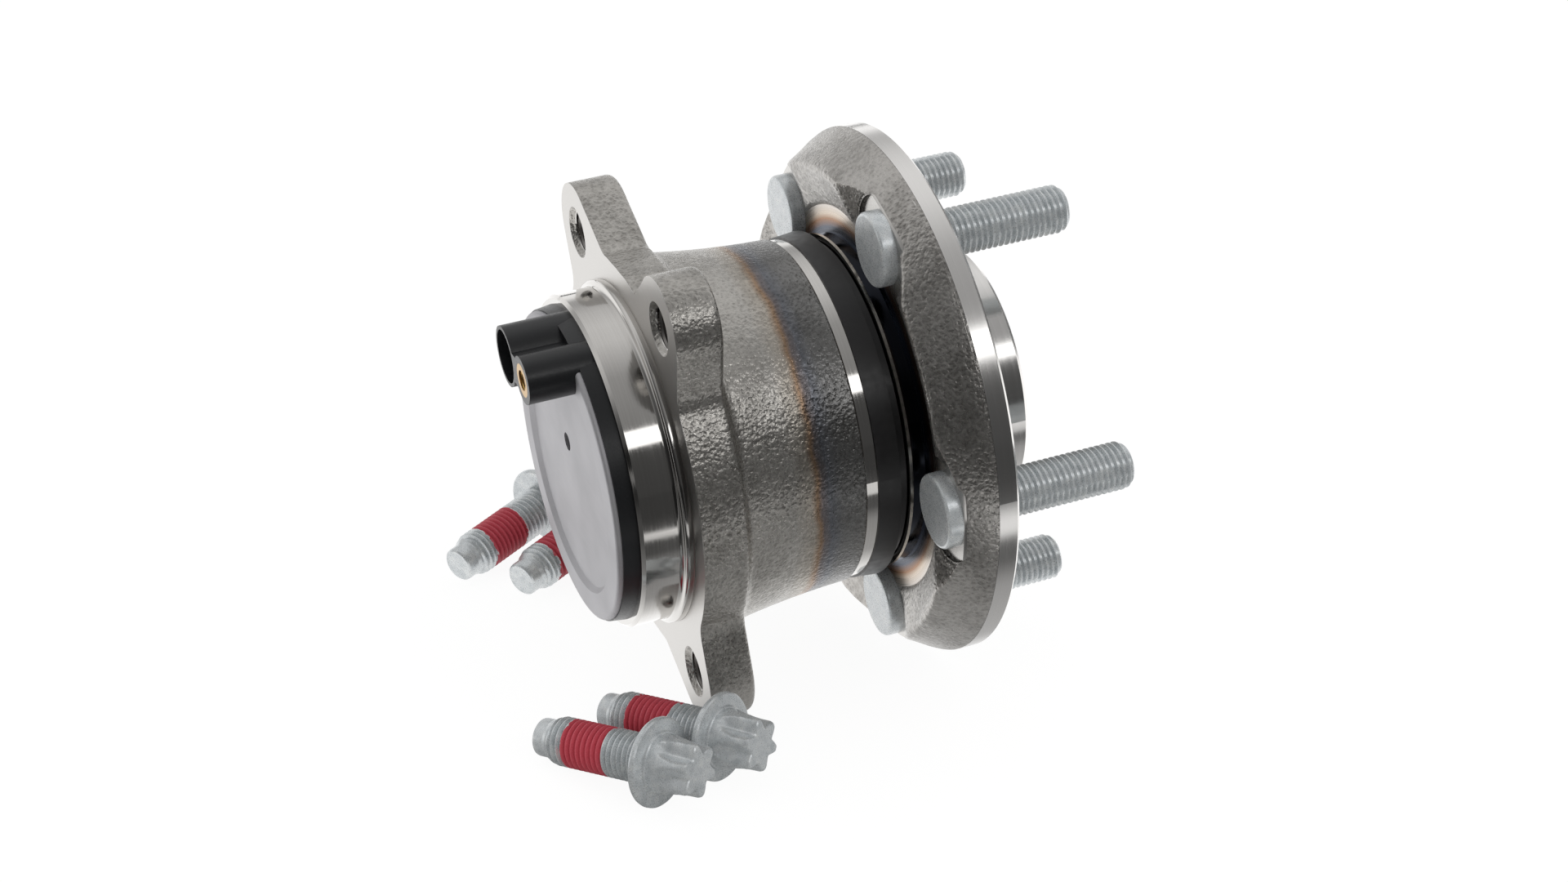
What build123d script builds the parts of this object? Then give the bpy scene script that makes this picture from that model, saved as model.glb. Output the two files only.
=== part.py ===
from build123d import *
import os
from math import atan2, cos, degrees, radians, sin

# Wheel hub bearing for a non-driven rear wheel: a flanged outer ring with four
# threaded ears, a flanged spindle on two rows of balls, and a sensor cap.
#
# Frame, in millimetres: the origin is the centre of the wheel-mounting face,
# +Y runs along the spindle towards the wheel, +Z points between the two upper
# ears. A depth is measured from the wheel-mounting face towards the car, -Y.

os.makedirs("parts", exist_ok=True)

# Wheel flange
flange_radius = 67.2
rim_band = 5.3
rim_chamfer = 0.7
forging_undersize = 0.25
seat_depth = 12.6
lobe_rise = 4.3
lobe_crest_radius = 60.6
lobe_edge = 0.7
lobe_corner = 2.4
turned_ring_radius = 49.0
boss_radius = 42.0
boss_rise = 0.5
lobe_foot = 0.8
stud_circle_radius = 54.0
stud_count = 5
stud_clock = 23.9
spot_radius = 12.9
spot_wall = 0.9
relief_radius = 36.0
relief_rise = 4.6

# Wheel spigot
spigot_radius = 31.7
spigot_length = 19.0
spigot_chamfer = 0.9
spigot_undercut = 0.5
undercut_width = 2.3
cup_radius = 24.5
cup_floor_radius = 16.0
cup_depth = 25.0

# Wheel studs
stud_head_radius = 9.2
stud_head_height = 5.0
stud_knurl_radius = 6.4
stud_thread_radius = 5.9
stud_reach = 34.0
stud_chamfer = 1.2

# Ball rows
ball_row_radius = 31.0
ball_radius = 6.35
ball_count = 13
contact_angle = 38.0
running_gap = 0.04
outboard_row = 39.5
row_spacing = 26.0
inner_groove_radius = 6.62
outer_groove_radius = 6.74
inner_shoulder_radius = 28.4
inner_land_radius = 25.6
outer_land_radius = 36.5
outer_rib_radius = 33.6

# Ball cages
cage_inner_radius = 29.4
cage_outer_radius = 34.6
cage_back = 7.8
cage_claw = 2.6
pocket_gap = 0.3

# Spindle and inner ring
seal_land_radius = 34.0
seal_land_length = 9.7
shoulder_cone = 4.6
flinger_seat_radius = 38.5
flinger_seat_height = 3.4
spindle_radius = 21.2
ring_land_width = 9.1
ring_shoulder_width = 11.5
collar_radius = 26.3
collar_height = 3.6
collar_cup_radius = 14.0
collar_cup_depth = 12.0
ring_chamfer = 0.6

# Outer ring
nose_depth = 25.7
nose_radius = 43.0
nose_band = 2.9
nose_step = 0.5
waist_radius = 44.4
root_radius = 46.6
seal_bore_radius = 38.5
seal_bore_depth = 7.5
ear_face_setback = 4.8
ear_thickness = 11.7
ear_spacing_x = 62.6
ear_spacing_z = 92.4
ear_radius = 12.4
ear_neck_inset = 6.3
ear_neck_drop = 21.2
ear_neck_radius = 13.0
ear_web_slope = 61.0
ear_foot_near = 15.6
ear_foot_far = 21.0
plate_radius = 49.6
plate_edge_rise = 2.9
near_foot_round = 1.8
far_foot_round = 6.0
waist_round = 7.0
back_edge_round = 1.8
root_flare = 2.6
root_fillet = 3.0
tap_radius = 5.2
tap_chamfer = 1.3
pilot_wall = 4.1
pilot_length = 12.4
pilot_chamfer = 0.8
pilot_undercut = 0.6
cap_bore_radius = 37.4
cap_bore_depth = 9.1

# Outboard seal
case_sheet = 0.9
case_flange_width = 3.9
case_inner_radius = 35.6
case_length = 7.4
rubber_wall = 1.0
rubber_flare = 0.5
rubber_band_width = 5.5
rubber_skin = 1.2
lip_gap = 0.35
flinger_sheet = 0.75
flinger_radius = 42.6
flinger_sleeve = 9.4

# Speed sensor encoder
carrier_sheet = 0.75
encoder_radius = 35.2
encoder_inner_radius = 29.7
encoder_thickness = 1.2
carrier_sleeve = 3.2

# Sensor cap
cap_band = 3.8
cap_outer_radius = 39.4
cap_taper = 0.5
cap_inner_radius = 33.6
cap_spigot_length = 5.4
cap_spigot_inner = 34.4
oring_cord = 1.24
oring_groove = 1.3
oring_play = 0.1
oring_inset = 2.6
plate_sheet = 1.4
cap_plate_radius = 38.5
dish_radius = 32.3
dish_depth = 1.1
cap_hole_radius = 2.3
cap_hole_x = -0.5
cap_hole_z = 6.5
dish_step = 1.2
plate_edge_round = 0.9
tower_length = 16.4
shroud_x = -1.1
shroud_z = 32.2
shroud_radius = 7.5
shroud_wall = 0.9
shroud_cavity = 10.0
tower_x = 12.9
tower_z = 32.0
tower_radius = 5.9
tower_web = 7.6
insert_radius = 4.1
insert_hole_radius = 2.5
insert_length = 9.0
relief_hole_radius = 2.0
relief_hole_depth = 2.5
pin_radius = 0.5
pin_pitch = 6.0
pin_recess = 2.5
sensor_width = 8.0
sensor_height = 6.0
sensor_drop = 1.6
sensor_air_gap = 1.0
sensor_seat = 2.0
cutout_gap = 0.15

# Mounting bolts
bolt_length = 33.0
bolt_thread_radius = 5.9
bolt_dog_radius = 4.6
bolt_dog_length = 3.4
bolt_dog_cone = 1.4
bolt_flange_radius = 10.7
bolt_flange_edge = 1.6
bolt_collar_radius = 7.3
bolt_head_height = 13.0
bolt_cone_height = 3.0
bolt_collar_height = 4.5
torx_radius = 6.45
torx_notch_radius = 2.7
torx_notch_reach = 7.4
torx_round = 0.6
torx_chamfer = 0.5

# Places that follow from the sizes above
inboard_row = outboard_row + row_spacing
inner_ring_depth = inboard_row - ring_land_width
inner_ring_end = inboard_row + ring_shoulder_width
ear_face_depth = inner_ring_end - ear_face_setback
ear_back_depth = ear_face_depth - ear_thickness
pilot_end = ear_face_depth + pilot_length
cap_face = pilot_end + cap_band
tower_reach = pilot_end + tower_length
case_flange_radius = seal_bore_radius + case_flange_width
rubber_band_radius = case_flange_radius + rubber_wall
lobe_depth = seat_depth + lobe_rise
flinger_depth = seat_depth + boss_rise + flinger_seat_height
encoder_face = inner_ring_end + encoder_thickness
ear_x = ear_spacing_x / 2
ear_z = ear_spacing_z / 2
plate_height = ear_z + plate_edge_rise
pilot_radius = cap_bore_radius + pilot_wall


def depth_plane(depth):
    """Plane across the spindle axis at a depth, drawn in X and Z and facing the car."""
    return Plane.XZ.offset(depth)


def ring_face(corners):
    """Half section of a turned piece, from its (radius, depth) corners."""
    with BuildSketch(Plane.XY) as section:
        with BuildLine():
            Polyline(*[(radius, -depth) for radius, depth in corners], close=True)
        make_face()
    return section.sketch


def groove_centre(row_depth, side, groove_radius, on_inner_ring):
    """Centre of a raceway's arc, set so that the ball bears on it at the contact angle.

    side is +1 on the outboard row and -1 on the inboard row.
    """
    shift = groove_radius - ball_radius - running_gap
    sign = 1 if on_inner_ring else -1
    radius = ball_row_radius + sign * shift * cos(radians(contact_angle))
    depth = row_depth + sign * side * shift * sin(radians(contact_angle))
    return radius, depth


def save(piece, name):
    """Label a finished piece and write it as its own file."""
    piece.label = name
    export_step(piece, f"parts/{name}.step")


# Outer ring: forged body, turned pilot, ground raceways and four tapped ears
def ear_outline(foot_inset):
    """One ear: a round boss, its neck, and a web that runs down into the edge of the plate."""
    slope = radians(ear_web_slope)
    crest = Vector(ear_x - ear_radius * cos(slope), ear_z + ear_radius * sin(slope))
    foot = Vector(ear_x - foot_inset, plate_height)
    with BuildSketch() as ear:
        with Locations((ear_x, ear_z)):
            Circle(ear_radius)
        with Locations((ear_x - ear_neck_inset, ear_z - ear_neck_drop)):
            Circle(ear_neck_radius)
        make_hull()
        with BuildLine():
            Polyline(
                (ear_x, 0.8 * plate_height),
                (ear_x, ear_z),
                crest,
                foot + 0.3 * (foot - crest),
                (ear_x - foot_inset, 0.8 * plate_height),
                close=True,
            )
        make_face()
    return ear.sketch


with BuildPart() as outer_ring:
    with BuildSketch(depth_plane(ear_back_depth)):
        Circle(plate_radius)
        Rectangle(2 * plate_radius, 2 * plate_height, mode=Mode.INTERSECT)
        near_ear = ear_outline(ear_foot_near)
        far_ear = mirror(ear_outline(ear_foot_far), about=Plane.YZ, mode=Mode.PRIVATE)
        for turn in (0, 180):
            add([near_ear, far_ear], rotation=turn)
        for side in (1, -1):
            near_foot = (side * (ear_x - ear_foot_near), side * plate_height)
            fillet(vertices().sort_by_distance(near_foot)[0], near_foot_round)
            far_foot = (side * (ear_foot_far - ear_x), side * plate_height)
            fillet(vertices().sort_by_distance(far_foot)[0], far_foot_round)
        waists = vertices().sort_by(lambda corner: abs(corner.Y))[:4]
        fillet(waists, waist_round)
        Circle(root_radius - root_flare, mode=Mode.SUBTRACT)
    extrude(amount=ear_thickness)
    plate_back = faces().sort_by(Axis.Y)[-1]
    fillet(plate_back.outer_wire().edges(), back_edge_round)

    with BuildSketch(Plane.XY) as body_section:
        with BuildLine():
            bore = Polyline(
                (cap_bore_radius, -pilot_end),
                (cap_bore_radius, cap_bore_depth - pilot_end),
                (outer_land_radius, cap_bore_depth - pilot_end),
                (outer_land_radius, -inboard_row),
                (outer_rib_radius, -inboard_row),
                (outer_rib_radius, -outboard_row),
                (outer_land_radius, -outboard_row),
                (outer_land_radius, -nose_depth - seal_bore_depth),
                (seal_bore_radius, -nose_depth - seal_bore_depth),
                (seal_bore_radius, -nose_depth),
                (nose_radius, -nose_depth),
                (nose_radius, -nose_depth - nose_band),
                (nose_radius + nose_step, -nose_depth - nose_band - nose_step),
            )
            forging = ThreePointArc(
                bore @ 1,
                (waist_radius, -(nose_depth + ear_back_depth) / 2),
                (root_radius, root_flare / 2 - ear_back_depth),
            )
            Polyline(
                forging @ 1,
                (root_radius + root_flare, -ear_back_depth - root_flare / 2),
                (root_radius + root_flare, -ear_face_depth),
                (pilot_radius - pilot_undercut, -ear_face_depth),
                (pilot_radius - pilot_undercut, -ear_face_depth - undercut_width),
                (pilot_radius, -ear_face_depth - undercut_width - pilot_undercut),
                (pilot_radius, pilot_chamfer - pilot_end),
                (pilot_radius - pilot_chamfer, -pilot_end),
                (cap_bore_radius, -pilot_end),
            )
        make_face()
        fillet(vertices().sort_by_distance(forging @ 1)[0], root_fillet)
    revolve(axis=Axis.Y)

    for row_depth, side in ((outboard_row, 1), (inboard_row, -1)):
        centre_radius, centre_depth = groove_centre(row_depth, side, outer_groove_radius, False)
        with BuildSketch(Plane.XY):
            with Locations((centre_radius, -centre_depth)):
                Circle(outer_groove_radius)
        revolve(axis=Axis.Y, mode=Mode.SUBTRACT)

    with Locations(depth_plane(ear_face_depth)):
        with GridLocations(ear_spacing_x, ear_spacing_z, 2, 2):
            CounterSinkHole(tap_radius, tap_radius + tap_chamfer, depth=ear_thickness)

save(outer_ring.part, "outer_ring")

# Hub: the wheel flange forged in one with the spindle, five stud seats in its back
with BuildPart() as hub_flange:
    with BuildSketch(Plane.XY):
        forging_radius = flange_radius - forging_undersize
        with BuildLine():
            Polyline(
                (0, 0),
                (flange_radius - rim_chamfer, 0),
                (flange_radius, -rim_chamfer),
                (flange_radius, -rim_band),
                (forging_radius, -rim_band),
                (forging_radius, -rim_band - lobe_edge),
                (lobe_crest_radius, -lobe_depth),
                (turned_ring_radius + lobe_foot, -seat_depth - lobe_foot),
                (turned_ring_radius, -seat_depth),
                (0, -seat_depth),
                close=True,
            )
        make_face()
        fillet(vertices().sort_by_distance((lobe_crest_radius, -lobe_depth))[0], lobe_corner)
    revolve(axis=Axis.Y)

    with BuildPart(mode=Mode.PRIVATE) as stud_seat:
        with BuildSketch(Plane.XY):
            with BuildLine():
                Polyline(
                    (0, -seat_depth),
                    (spot_radius, -seat_depth),
                    (spot_radius, -seat_depth - spot_wall),
                    (relief_radius, -seat_depth - relief_rise),
                    (0, -seat_depth - relief_rise),
                    close=True,
                )
            make_face()
        revolve(axis=Axis.Y)
    for k in range(stud_count):
        seat_turn = Rot(0, stud_clock + k * 360 / stud_count, 0)
        add(seat_turn * Pos(0, 0, stud_circle_radius) * stud_seat.part, mode=Mode.SUBTRACT)

    with BuildSketch(Plane.XY):
        land_end = flinger_depth + seal_land_length
        with BuildLine():
            Polyline(
                (0, spigot_length),
                (spigot_radius - spigot_chamfer, spigot_length),
                (spigot_radius, spigot_length - spigot_chamfer),
                (spigot_radius, undercut_width),
                (spigot_radius - spigot_undercut, undercut_width),
                (spigot_radius - spigot_undercut, -seat_depth / 2),
                (boss_radius, -seat_depth / 2),
                (boss_radius, -seat_depth - boss_rise),
                (flinger_seat_radius, -seat_depth - boss_rise),
                (flinger_seat_radius, -flinger_depth),
                (seal_land_radius, -flinger_depth),
                (seal_land_radius, -land_end),
                (inner_shoulder_radius, -land_end - shoulder_cone),
                (inner_shoulder_radius, -outboard_row),
                (inner_land_radius, -outboard_row),
                (inner_land_radius, -inner_ring_depth),
                (spindle_radius, -inner_ring_depth),
                (spindle_radius, -inner_ring_end),
                (collar_radius, -inner_ring_end),
                (collar_radius, -inner_ring_end - collar_height / 2),
                (collar_radius - collar_height / 2, -inner_ring_end - collar_height),
                (collar_cup_radius, -inner_ring_end - collar_height),
                (0.7 * collar_cup_radius, collar_cup_depth - inner_ring_end - collar_height),
                (0, collar_cup_depth - inner_ring_end - collar_height),
                close=True,
            )
        make_face()
    revolve(axis=Axis.Y)

    with BuildSketch(Plane.XY):
        with BuildLine():
            Polyline(
                (0, spigot_length),
                (cup_radius, spigot_length),
                (cup_floor_radius, spigot_length - cup_depth),
                (0, spigot_length - cup_depth),
                close=True,
            )
        make_face()
    revolve(axis=Axis.Y, mode=Mode.SUBTRACT)

    centre_radius, centre_depth = groove_centre(outboard_row, 1, inner_groove_radius, True)
    with BuildSketch(Plane.XY):
        with Locations((centre_radius, -centre_depth)):
            Circle(inner_groove_radius)
    revolve(axis=Axis.Y, mode=Mode.SUBTRACT)

    for k in range(stud_count):
        hole_turn = Rot(0, stud_clock + k * 360 / stud_count, 0)
        with Locations(hole_turn * Pos(0, 0, stud_circle_radius) * Location(depth_plane(0))):
            Hole(stud_knurl_radius)

save(hub_flange.part, "hub_flange")

# Wheel studs, pressed in from the back: head, knurled shank and threaded length
with BuildPart() as stud:
    with BuildSketch(Plane.XY):
        with BuildLine():
            Polyline(
                (0, stud_reach),
                (stud_thread_radius - stud_chamfer, stud_reach),
                (stud_thread_radius, stud_reach - stud_chamfer),
                (stud_thread_radius, 0),
                (stud_knurl_radius, stud_thread_radius - stud_knurl_radius),
                (stud_knurl_radius, -seat_depth),
                (stud_head_radius, -seat_depth),
                (stud_head_radius, stud_chamfer / 2 - seat_depth - stud_head_height),
                (stud_head_radius - stud_chamfer / 2, -seat_depth - stud_head_height),
                (0, -seat_depth - stud_head_height),
                close=True,
            )
        make_face()
    revolve(axis=Axis.Y)

for k in range(stud_count):
    with BuildPart() as wheel_stud:
        stud_turn = Rot(0, stud_clock + k * 360 / stud_count, 0)
        add(stud_turn * Pos(0, 0, stud_circle_radius) * stud.part)
    save(wheel_stud.part, f"wheel_stud_{k + 1}")

# Inner ring of the inboard row, held on the spindle by the formed collar
with BuildPart() as inner_ring:
    with BuildSketch(Plane.XY):
        with BuildLine():
            Polyline(
                (spindle_radius, -inner_ring_depth),
                (inner_land_radius, -inner_ring_depth),
                (inner_land_radius, -inboard_row),
                (inner_shoulder_radius, -inboard_row),
                (inner_shoulder_radius, ring_chamfer - inner_ring_end),
                (inner_shoulder_radius - ring_chamfer, -inner_ring_end),
                (spindle_radius, -inner_ring_end),
                close=True,
            )
        make_face()
    revolve(axis=Axis.Y)
    centre_radius, centre_depth = groove_centre(inboard_row, -1, inner_groove_radius, True)
    with BuildSketch(Plane.XY):
        with Locations((centre_radius, -centre_depth)):
            Circle(inner_groove_radius)
    revolve(axis=Axis.Y, mode=Mode.SUBTRACT)

save(inner_ring.part, "inner_ring")

# Two rows of balls, each with a cage whose closed back points to its end of the hub
for row_name, row_depth, side in (("outboard", outboard_row, 1), ("inboard", inboard_row, -1)):
    with BuildPart() as balls:
        with Locations(depth_plane(row_depth)):
            with PolarLocations(ball_row_radius, ball_count):
                Sphere(ball_radius)
    save(balls.part, f"{row_name}_balls")

    with BuildPart() as cage:
        with BuildSketch(depth_plane(row_depth + side * cage_claw)):
            Circle(cage_outer_radius)
            Circle(cage_inner_radius, mode=Mode.SUBTRACT)
        extrude(amount=-side * (cage_claw + cage_back))
        with Locations(depth_plane(row_depth)):
            with PolarLocations(ball_row_radius, ball_count):
                Sphere(ball_radius + pocket_gap, mode=Mode.SUBTRACT)
    save(cage.part, f"{row_name}_cage")

# Outboard seal: a steel case in the nose of the outer ring, rubber bonded to it,
# and a flinger that turns with the hub in front of the lips
case_bore = seal_bore_radius - case_sheet
case_face = nose_depth - case_sheet
case_end = nose_depth + case_length
with BuildPart() as seal_case:
    add(ring_face([
        (seal_bore_radius, nose_depth),
        (case_flange_radius, nose_depth),
        (case_flange_radius, case_face),
        (case_bore, case_face),
        (case_bore, case_end - case_sheet),
        (case_inner_radius, case_end - case_sheet),
        (case_inner_radius, case_end),
        (seal_bore_radius, case_end),
    ]))
    revolve(axis=Axis.Y)
save(seal_case.part, "seal_case")

rubber_edge = nose_depth - rubber_band_width
rubber_face = case_face - rubber_skin
lip_end = flinger_depth + flinger_sheet + lip_gap
lip_tip = seal_land_radius + flinger_sheet + lip_gap
with BuildPart() as seal_rubber:
    add(ring_face([
        (case_flange_radius, nose_depth),
        (rubber_band_radius, nose_depth),
        (rubber_band_radius + rubber_flare, rubber_edge),
        (rubber_band_radius + rubber_flare - case_sheet, rubber_edge),
        (case_flange_radius, rubber_face),
        (case_bore + 2 * rubber_skin, rubber_face),
        (case_bore + 2.9 * rubber_skin, lip_end),
        (case_bore + 2.4 * rubber_skin, lip_end),
        (case_bore + 1.2 * rubber_skin, rubber_face),
        (case_bore - 0.6 * rubber_skin, rubber_face),
        (lip_tip, rubber_face + 0.5 * rubber_skin),
        (lip_tip, rubber_face + rubber_skin),
        (case_bore - 0.6 * rubber_skin, rubber_face + 2.6 * rubber_skin),
        (case_bore - 0.6 * rubber_skin, case_end - case_sheet),
        (case_bore, case_end - case_sheet),
        (case_bore, case_face),
        (case_flange_radius, case_face),
    ]))
    revolve(axis=Axis.Y)
save(seal_rubber.part, "seal_rubber")

with BuildPart() as flinger:
    add(ring_face([
        (seal_land_radius, flinger_depth),
        (flinger_radius, flinger_depth),
        (flinger_radius, flinger_depth + flinger_sheet),
        (seal_land_radius + flinger_sheet, flinger_depth + flinger_sheet),
        (seal_land_radius + flinger_sheet, flinger_depth + flinger_sleeve),
        (seal_land_radius, flinger_depth + flinger_sleeve),
    ]))
    revolve(axis=Axis.Y)
save(flinger.part, "flinger")

# Speed sensor encoder: a magnetised ring bonded to a carrier pressed on the inner ring
carrier_face = inner_ring_end
with BuildPart() as encoder_carrier:
    add(ring_face([
        (inner_shoulder_radius, carrier_face - carrier_sleeve),
        (inner_shoulder_radius + carrier_sheet, carrier_face - carrier_sleeve),
        (inner_shoulder_radius + carrier_sheet, carrier_face - carrier_sheet),
        (encoder_radius, carrier_face - carrier_sheet),
        (encoder_radius, carrier_face),
        (inner_shoulder_radius, carrier_face),
    ]))
    revolve(axis=Axis.Y)
save(encoder_carrier.part, "encoder_carrier")

with BuildPart() as encoder_ring:
    with BuildSketch(depth_plane(carrier_face)):
        Circle(encoder_radius)
        Circle(encoder_inner_radius, mode=Mode.SUBTRACT)
    extrude(amount=encoder_thickness)
save(encoder_ring.part, "encoder_ring")

# Sensor cap: a moulded ring with a plug shroud and a screw tower
spigot_start = pilot_end - cap_spigot_length
oring_depth = pilot_end - oring_inset
oring_room = oring_cord / 2 + oring_play
sensor_face = encoder_face + sensor_air_gap
sensor_z = shroud_z - sensor_drop
sensor_end = pilot_end + sensor_seat
cavity_floor = tower_reach - shroud_cavity
with BuildPart() as cap_ring:
    add(ring_face([
        (cap_spigot_inner, spigot_start),
        (cap_bore_radius - cutout_gap / 3, spigot_start),
        (cap_bore_radius - cutout_gap / 3, oring_depth - oring_room),
        (cap_bore_radius - oring_groove, oring_depth - oring_room),
        (cap_bore_radius - oring_groove, oring_depth + oring_room),
        (cap_bore_radius - cutout_gap / 3, oring_depth + oring_room),
        (cap_bore_radius - cutout_gap / 3, pilot_end),
        (cap_outer_radius, pilot_end),
        (cap_outer_radius - cap_taper, cap_face),
        (cap_inner_radius, cap_face),
        (cap_inner_radius, pilot_end),
        (cap_spigot_inner, pilot_end),
    ]))
    revolve(axis=Axis.Y)
    with BuildSketch(depth_plane(pilot_end)):
        with Locations((shroud_x, shroud_z)):
            Circle(shroud_radius)
        with Locations((tower_x, tower_z)):
            Circle(tower_radius)
        with Locations(((shroud_x + tower_x) / 2, (shroud_z + tower_z) / 2)):
            Rectangle(tower_x - shroud_x, tower_web)
    extrude(amount=tower_reach - pilot_end)
    with BuildSketch(depth_plane(tower_reach)):
        with Locations((shroud_x, shroud_z)):
            Circle(shroud_radius - shroud_wall)
    extrude(amount=-shroud_cavity, mode=Mode.SUBTRACT)
    with BuildSketch(depth_plane(tower_reach)):
        with Locations((tower_x, tower_z)):
            Circle(insert_radius)
    extrude(amount=-insert_length, mode=Mode.SUBTRACT)
    with BuildSketch(depth_plane(tower_reach - insert_length)):
        with Locations((tower_x, tower_z)):
            Circle(relief_hole_radius)
    extrude(amount=-relief_hole_depth, mode=Mode.SUBTRACT)
    with BuildSketch(depth_plane(cavity_floor)):
        with Locations((shroud_x, shroud_z)):
            with GridLocations(pin_pitch, 1, 2, 1):
                Circle(pin_radius)
    extrude(amount=sensor_end - cavity_floor, mode=Mode.SUBTRACT)
    with BuildSketch(depth_plane(pilot_end)):
        with Locations((shroud_x, sensor_z)):
            Rectangle(sensor_width, sensor_height)
    extrude(amount=sensor_seat, mode=Mode.SUBTRACT)
save(cap_ring.part, "cap_ring")

with BuildPart() as sensor_head:
    with BuildSketch(depth_plane(sensor_face)):
        with Locations((shroud_x, sensor_z)):
            Rectangle(sensor_width, sensor_height)
    extrude(amount=sensor_end - sensor_face)
save(sensor_head.part, "sensor_head")

with BuildPart() as connector_pins:
    with BuildSketch(depth_plane(sensor_end)):
        with Locations((shroud_x, shroud_z)):
            with GridLocations(pin_pitch, 1, 2, 1):
                Circle(pin_radius)
    extrude(amount=tower_reach - pin_recess - sensor_end)
save(connector_pins.part, "connector_pins")

with BuildPart() as screw_insert:
    with BuildSketch(depth_plane(tower_reach)):
        with Locations((tower_x, tower_z)):
            Circle(insert_radius)
            Circle(insert_hole_radius, mode=Mode.SUBTRACT)
    extrude(amount=-insert_length)
save(screw_insert.part, "screw_insert")

with BuildPart() as cap_oring:
    with BuildSketch(Plane.XY):
        with Locations((cap_bore_radius - oring_cord / 2 - 0.02, -oring_depth)):
            Circle(oring_cord / 2)
    revolve(axis=Axis.Y)
save(cap_oring.part, "cap_oring")

# Steel cover plate: rolled rim, dished centre, cut out around the two towers
with BuildPart() as cap_plate:
    with BuildSketch(Plane.XY) as plate_section:
        with BuildLine():
            Polyline(
                (0, dish_depth - cap_face),
                (dish_radius - dish_step, dish_depth - cap_face),
                (dish_radius, -cap_face),
                (cap_plate_radius, -cap_face),
                (cap_plate_radius, -cap_face - plate_sheet),
                (dish_radius - plate_sheet / 2, -cap_face - plate_sheet),
                (dish_radius - plate_sheet / 2 - dish_step, dish_depth - cap_face - plate_sheet),
                (0, dish_depth - cap_face - plate_sheet),
                close=True,
            )
        make_face()
        rim_corner = (cap_plate_radius, -cap_face - plate_sheet)
        fillet(vertices().sort_by_distance(rim_corner)[0], plate_edge_round)
    revolve(axis=Axis.Y)
    with BuildSketch(depth_plane(pilot_end)):
        with Locations((shroud_x, shroud_z)):
            Circle(shroud_radius + cutout_gap)
        with Locations((tower_x, tower_z)):
            Circle(tower_radius + cutout_gap)
        with Locations(((shroud_x + tower_x) / 2, (shroud_z + tower_z - tower_web) / 2 - cutout_gap)):
            Rectangle(tower_x - shroud_x, cap_plate_radius / 2, align=(Align.CENTER, Align.MIN))
    extrude(amount=tower_reach - pilot_end, mode=Mode.SUBTRACT)
    with BuildSketch(depth_plane(pilot_end)):
        with Locations((cap_hole_x, cap_hole_z)):
            Circle(cap_hole_radius)
    extrude(amount=tower_reach - pilot_end, mode=Mode.SUBTRACT)
save(cap_plate.part, "cap_plate")

# Mounting bolt, drawn along +X from its dog point: dog, thread, flange and splined head
with BuildPart() as bolt:
    dog_end = bolt_dog_length + bolt_dog_cone
    with BuildSketch(Plane.XY):
        with BuildLine():
            Polyline(
                (0, 0),
                (0, bolt_dog_radius),
                (bolt_dog_length, bolt_dog_radius),
                (dog_end, bolt_thread_radius),
                (bolt_length, bolt_thread_radius),
                (bolt_length, bolt_flange_radius),
                (bolt_length + bolt_flange_edge, bolt_flange_radius),
                (bolt_length + bolt_cone_height, bolt_collar_radius),
                (bolt_length + bolt_collar_height, bolt_collar_radius),
                (bolt_length + bolt_collar_height, 0),
                close=True,
            )
        make_face()
    revolve(axis=Axis.X)
    with BuildSketch(Plane.YZ.offset(bolt_length + bolt_collar_height)) as splined:
        Circle(torx_radius)
        with PolarLocations(torx_notch_reach, 6):
            Circle(torx_notch_radius, mode=Mode.SUBTRACT)
        fillet(vertices(), torx_round)
    extrude(amount=bolt_head_height - bolt_collar_height)
    chamfer(faces().sort_by(Axis.X)[-1].edges(), torx_chamfer)

# The four bolts lie on one floor, which touches the lower ears and the wheel flange
ear_reach = ear_z + ear_radius
floor_slope = atan2(flange_radius - ear_reach, ear_face_depth - rim_band)
floor = Plane(
    origin=(0, -ear_face_depth, -ear_reach),
    x_dir=(1, 0, 0),
    z_dir=(0, sin(floor_slope), cos(floor_slope)),
)
bolt_pitch = atan2(bolt_flange_radius - bolt_thread_radius, bolt_length - dog_end)
bolt_lift = bolt_thread_radius * cos(bolt_pitch) - dog_end * sin(bolt_pitch)
bolt_places = (
    (38.4, -41.6, 35.1),
    (31.5, -23.5, 34.3),
    (-38.5, -24.7, 121.3),
    (-50.8, -38.4, 121.3),
)
for number, (across, along, heading) in enumerate(bolt_places, 1):
    with BuildPart() as mounting_bolt:
        lying = Pos(across, along, bolt_lift) * Rot(0, 0, heading) * Rot(0, -degrees(bolt_pitch), 0)
        add(floor.location * lying * bolt.part)
    save(mounting_bolt.part, f"mounting_bolt_{number}")
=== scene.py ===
# %% [markdown]
# # A wheel hub bearing in turned and forged steel
# A wheel turns on this unit. A forged ring is bolted to the car, and a forged flange spins in it on two rows of
# balls. The solids come packed from the CAD source and are loaded first. They are never moved, because balls,
# raceways and seats only fit where their sizes put them. Blender adds the finishes, and the forms that are too
# fine for the solids: threads, the flutes of the bolt heads, and the hollows that a forging die leaves.
#
# Everything is in metres in one frame. Its origin is the centre of the face that the wheel bolts to, +Y points
# along the spindle to the wheel, and +Z is up. Sizes are written in millimetres and multiplied by MM.

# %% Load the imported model
import math
import bmesh
import bpy
from mathutils import Matrix, Vector, noise


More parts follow.
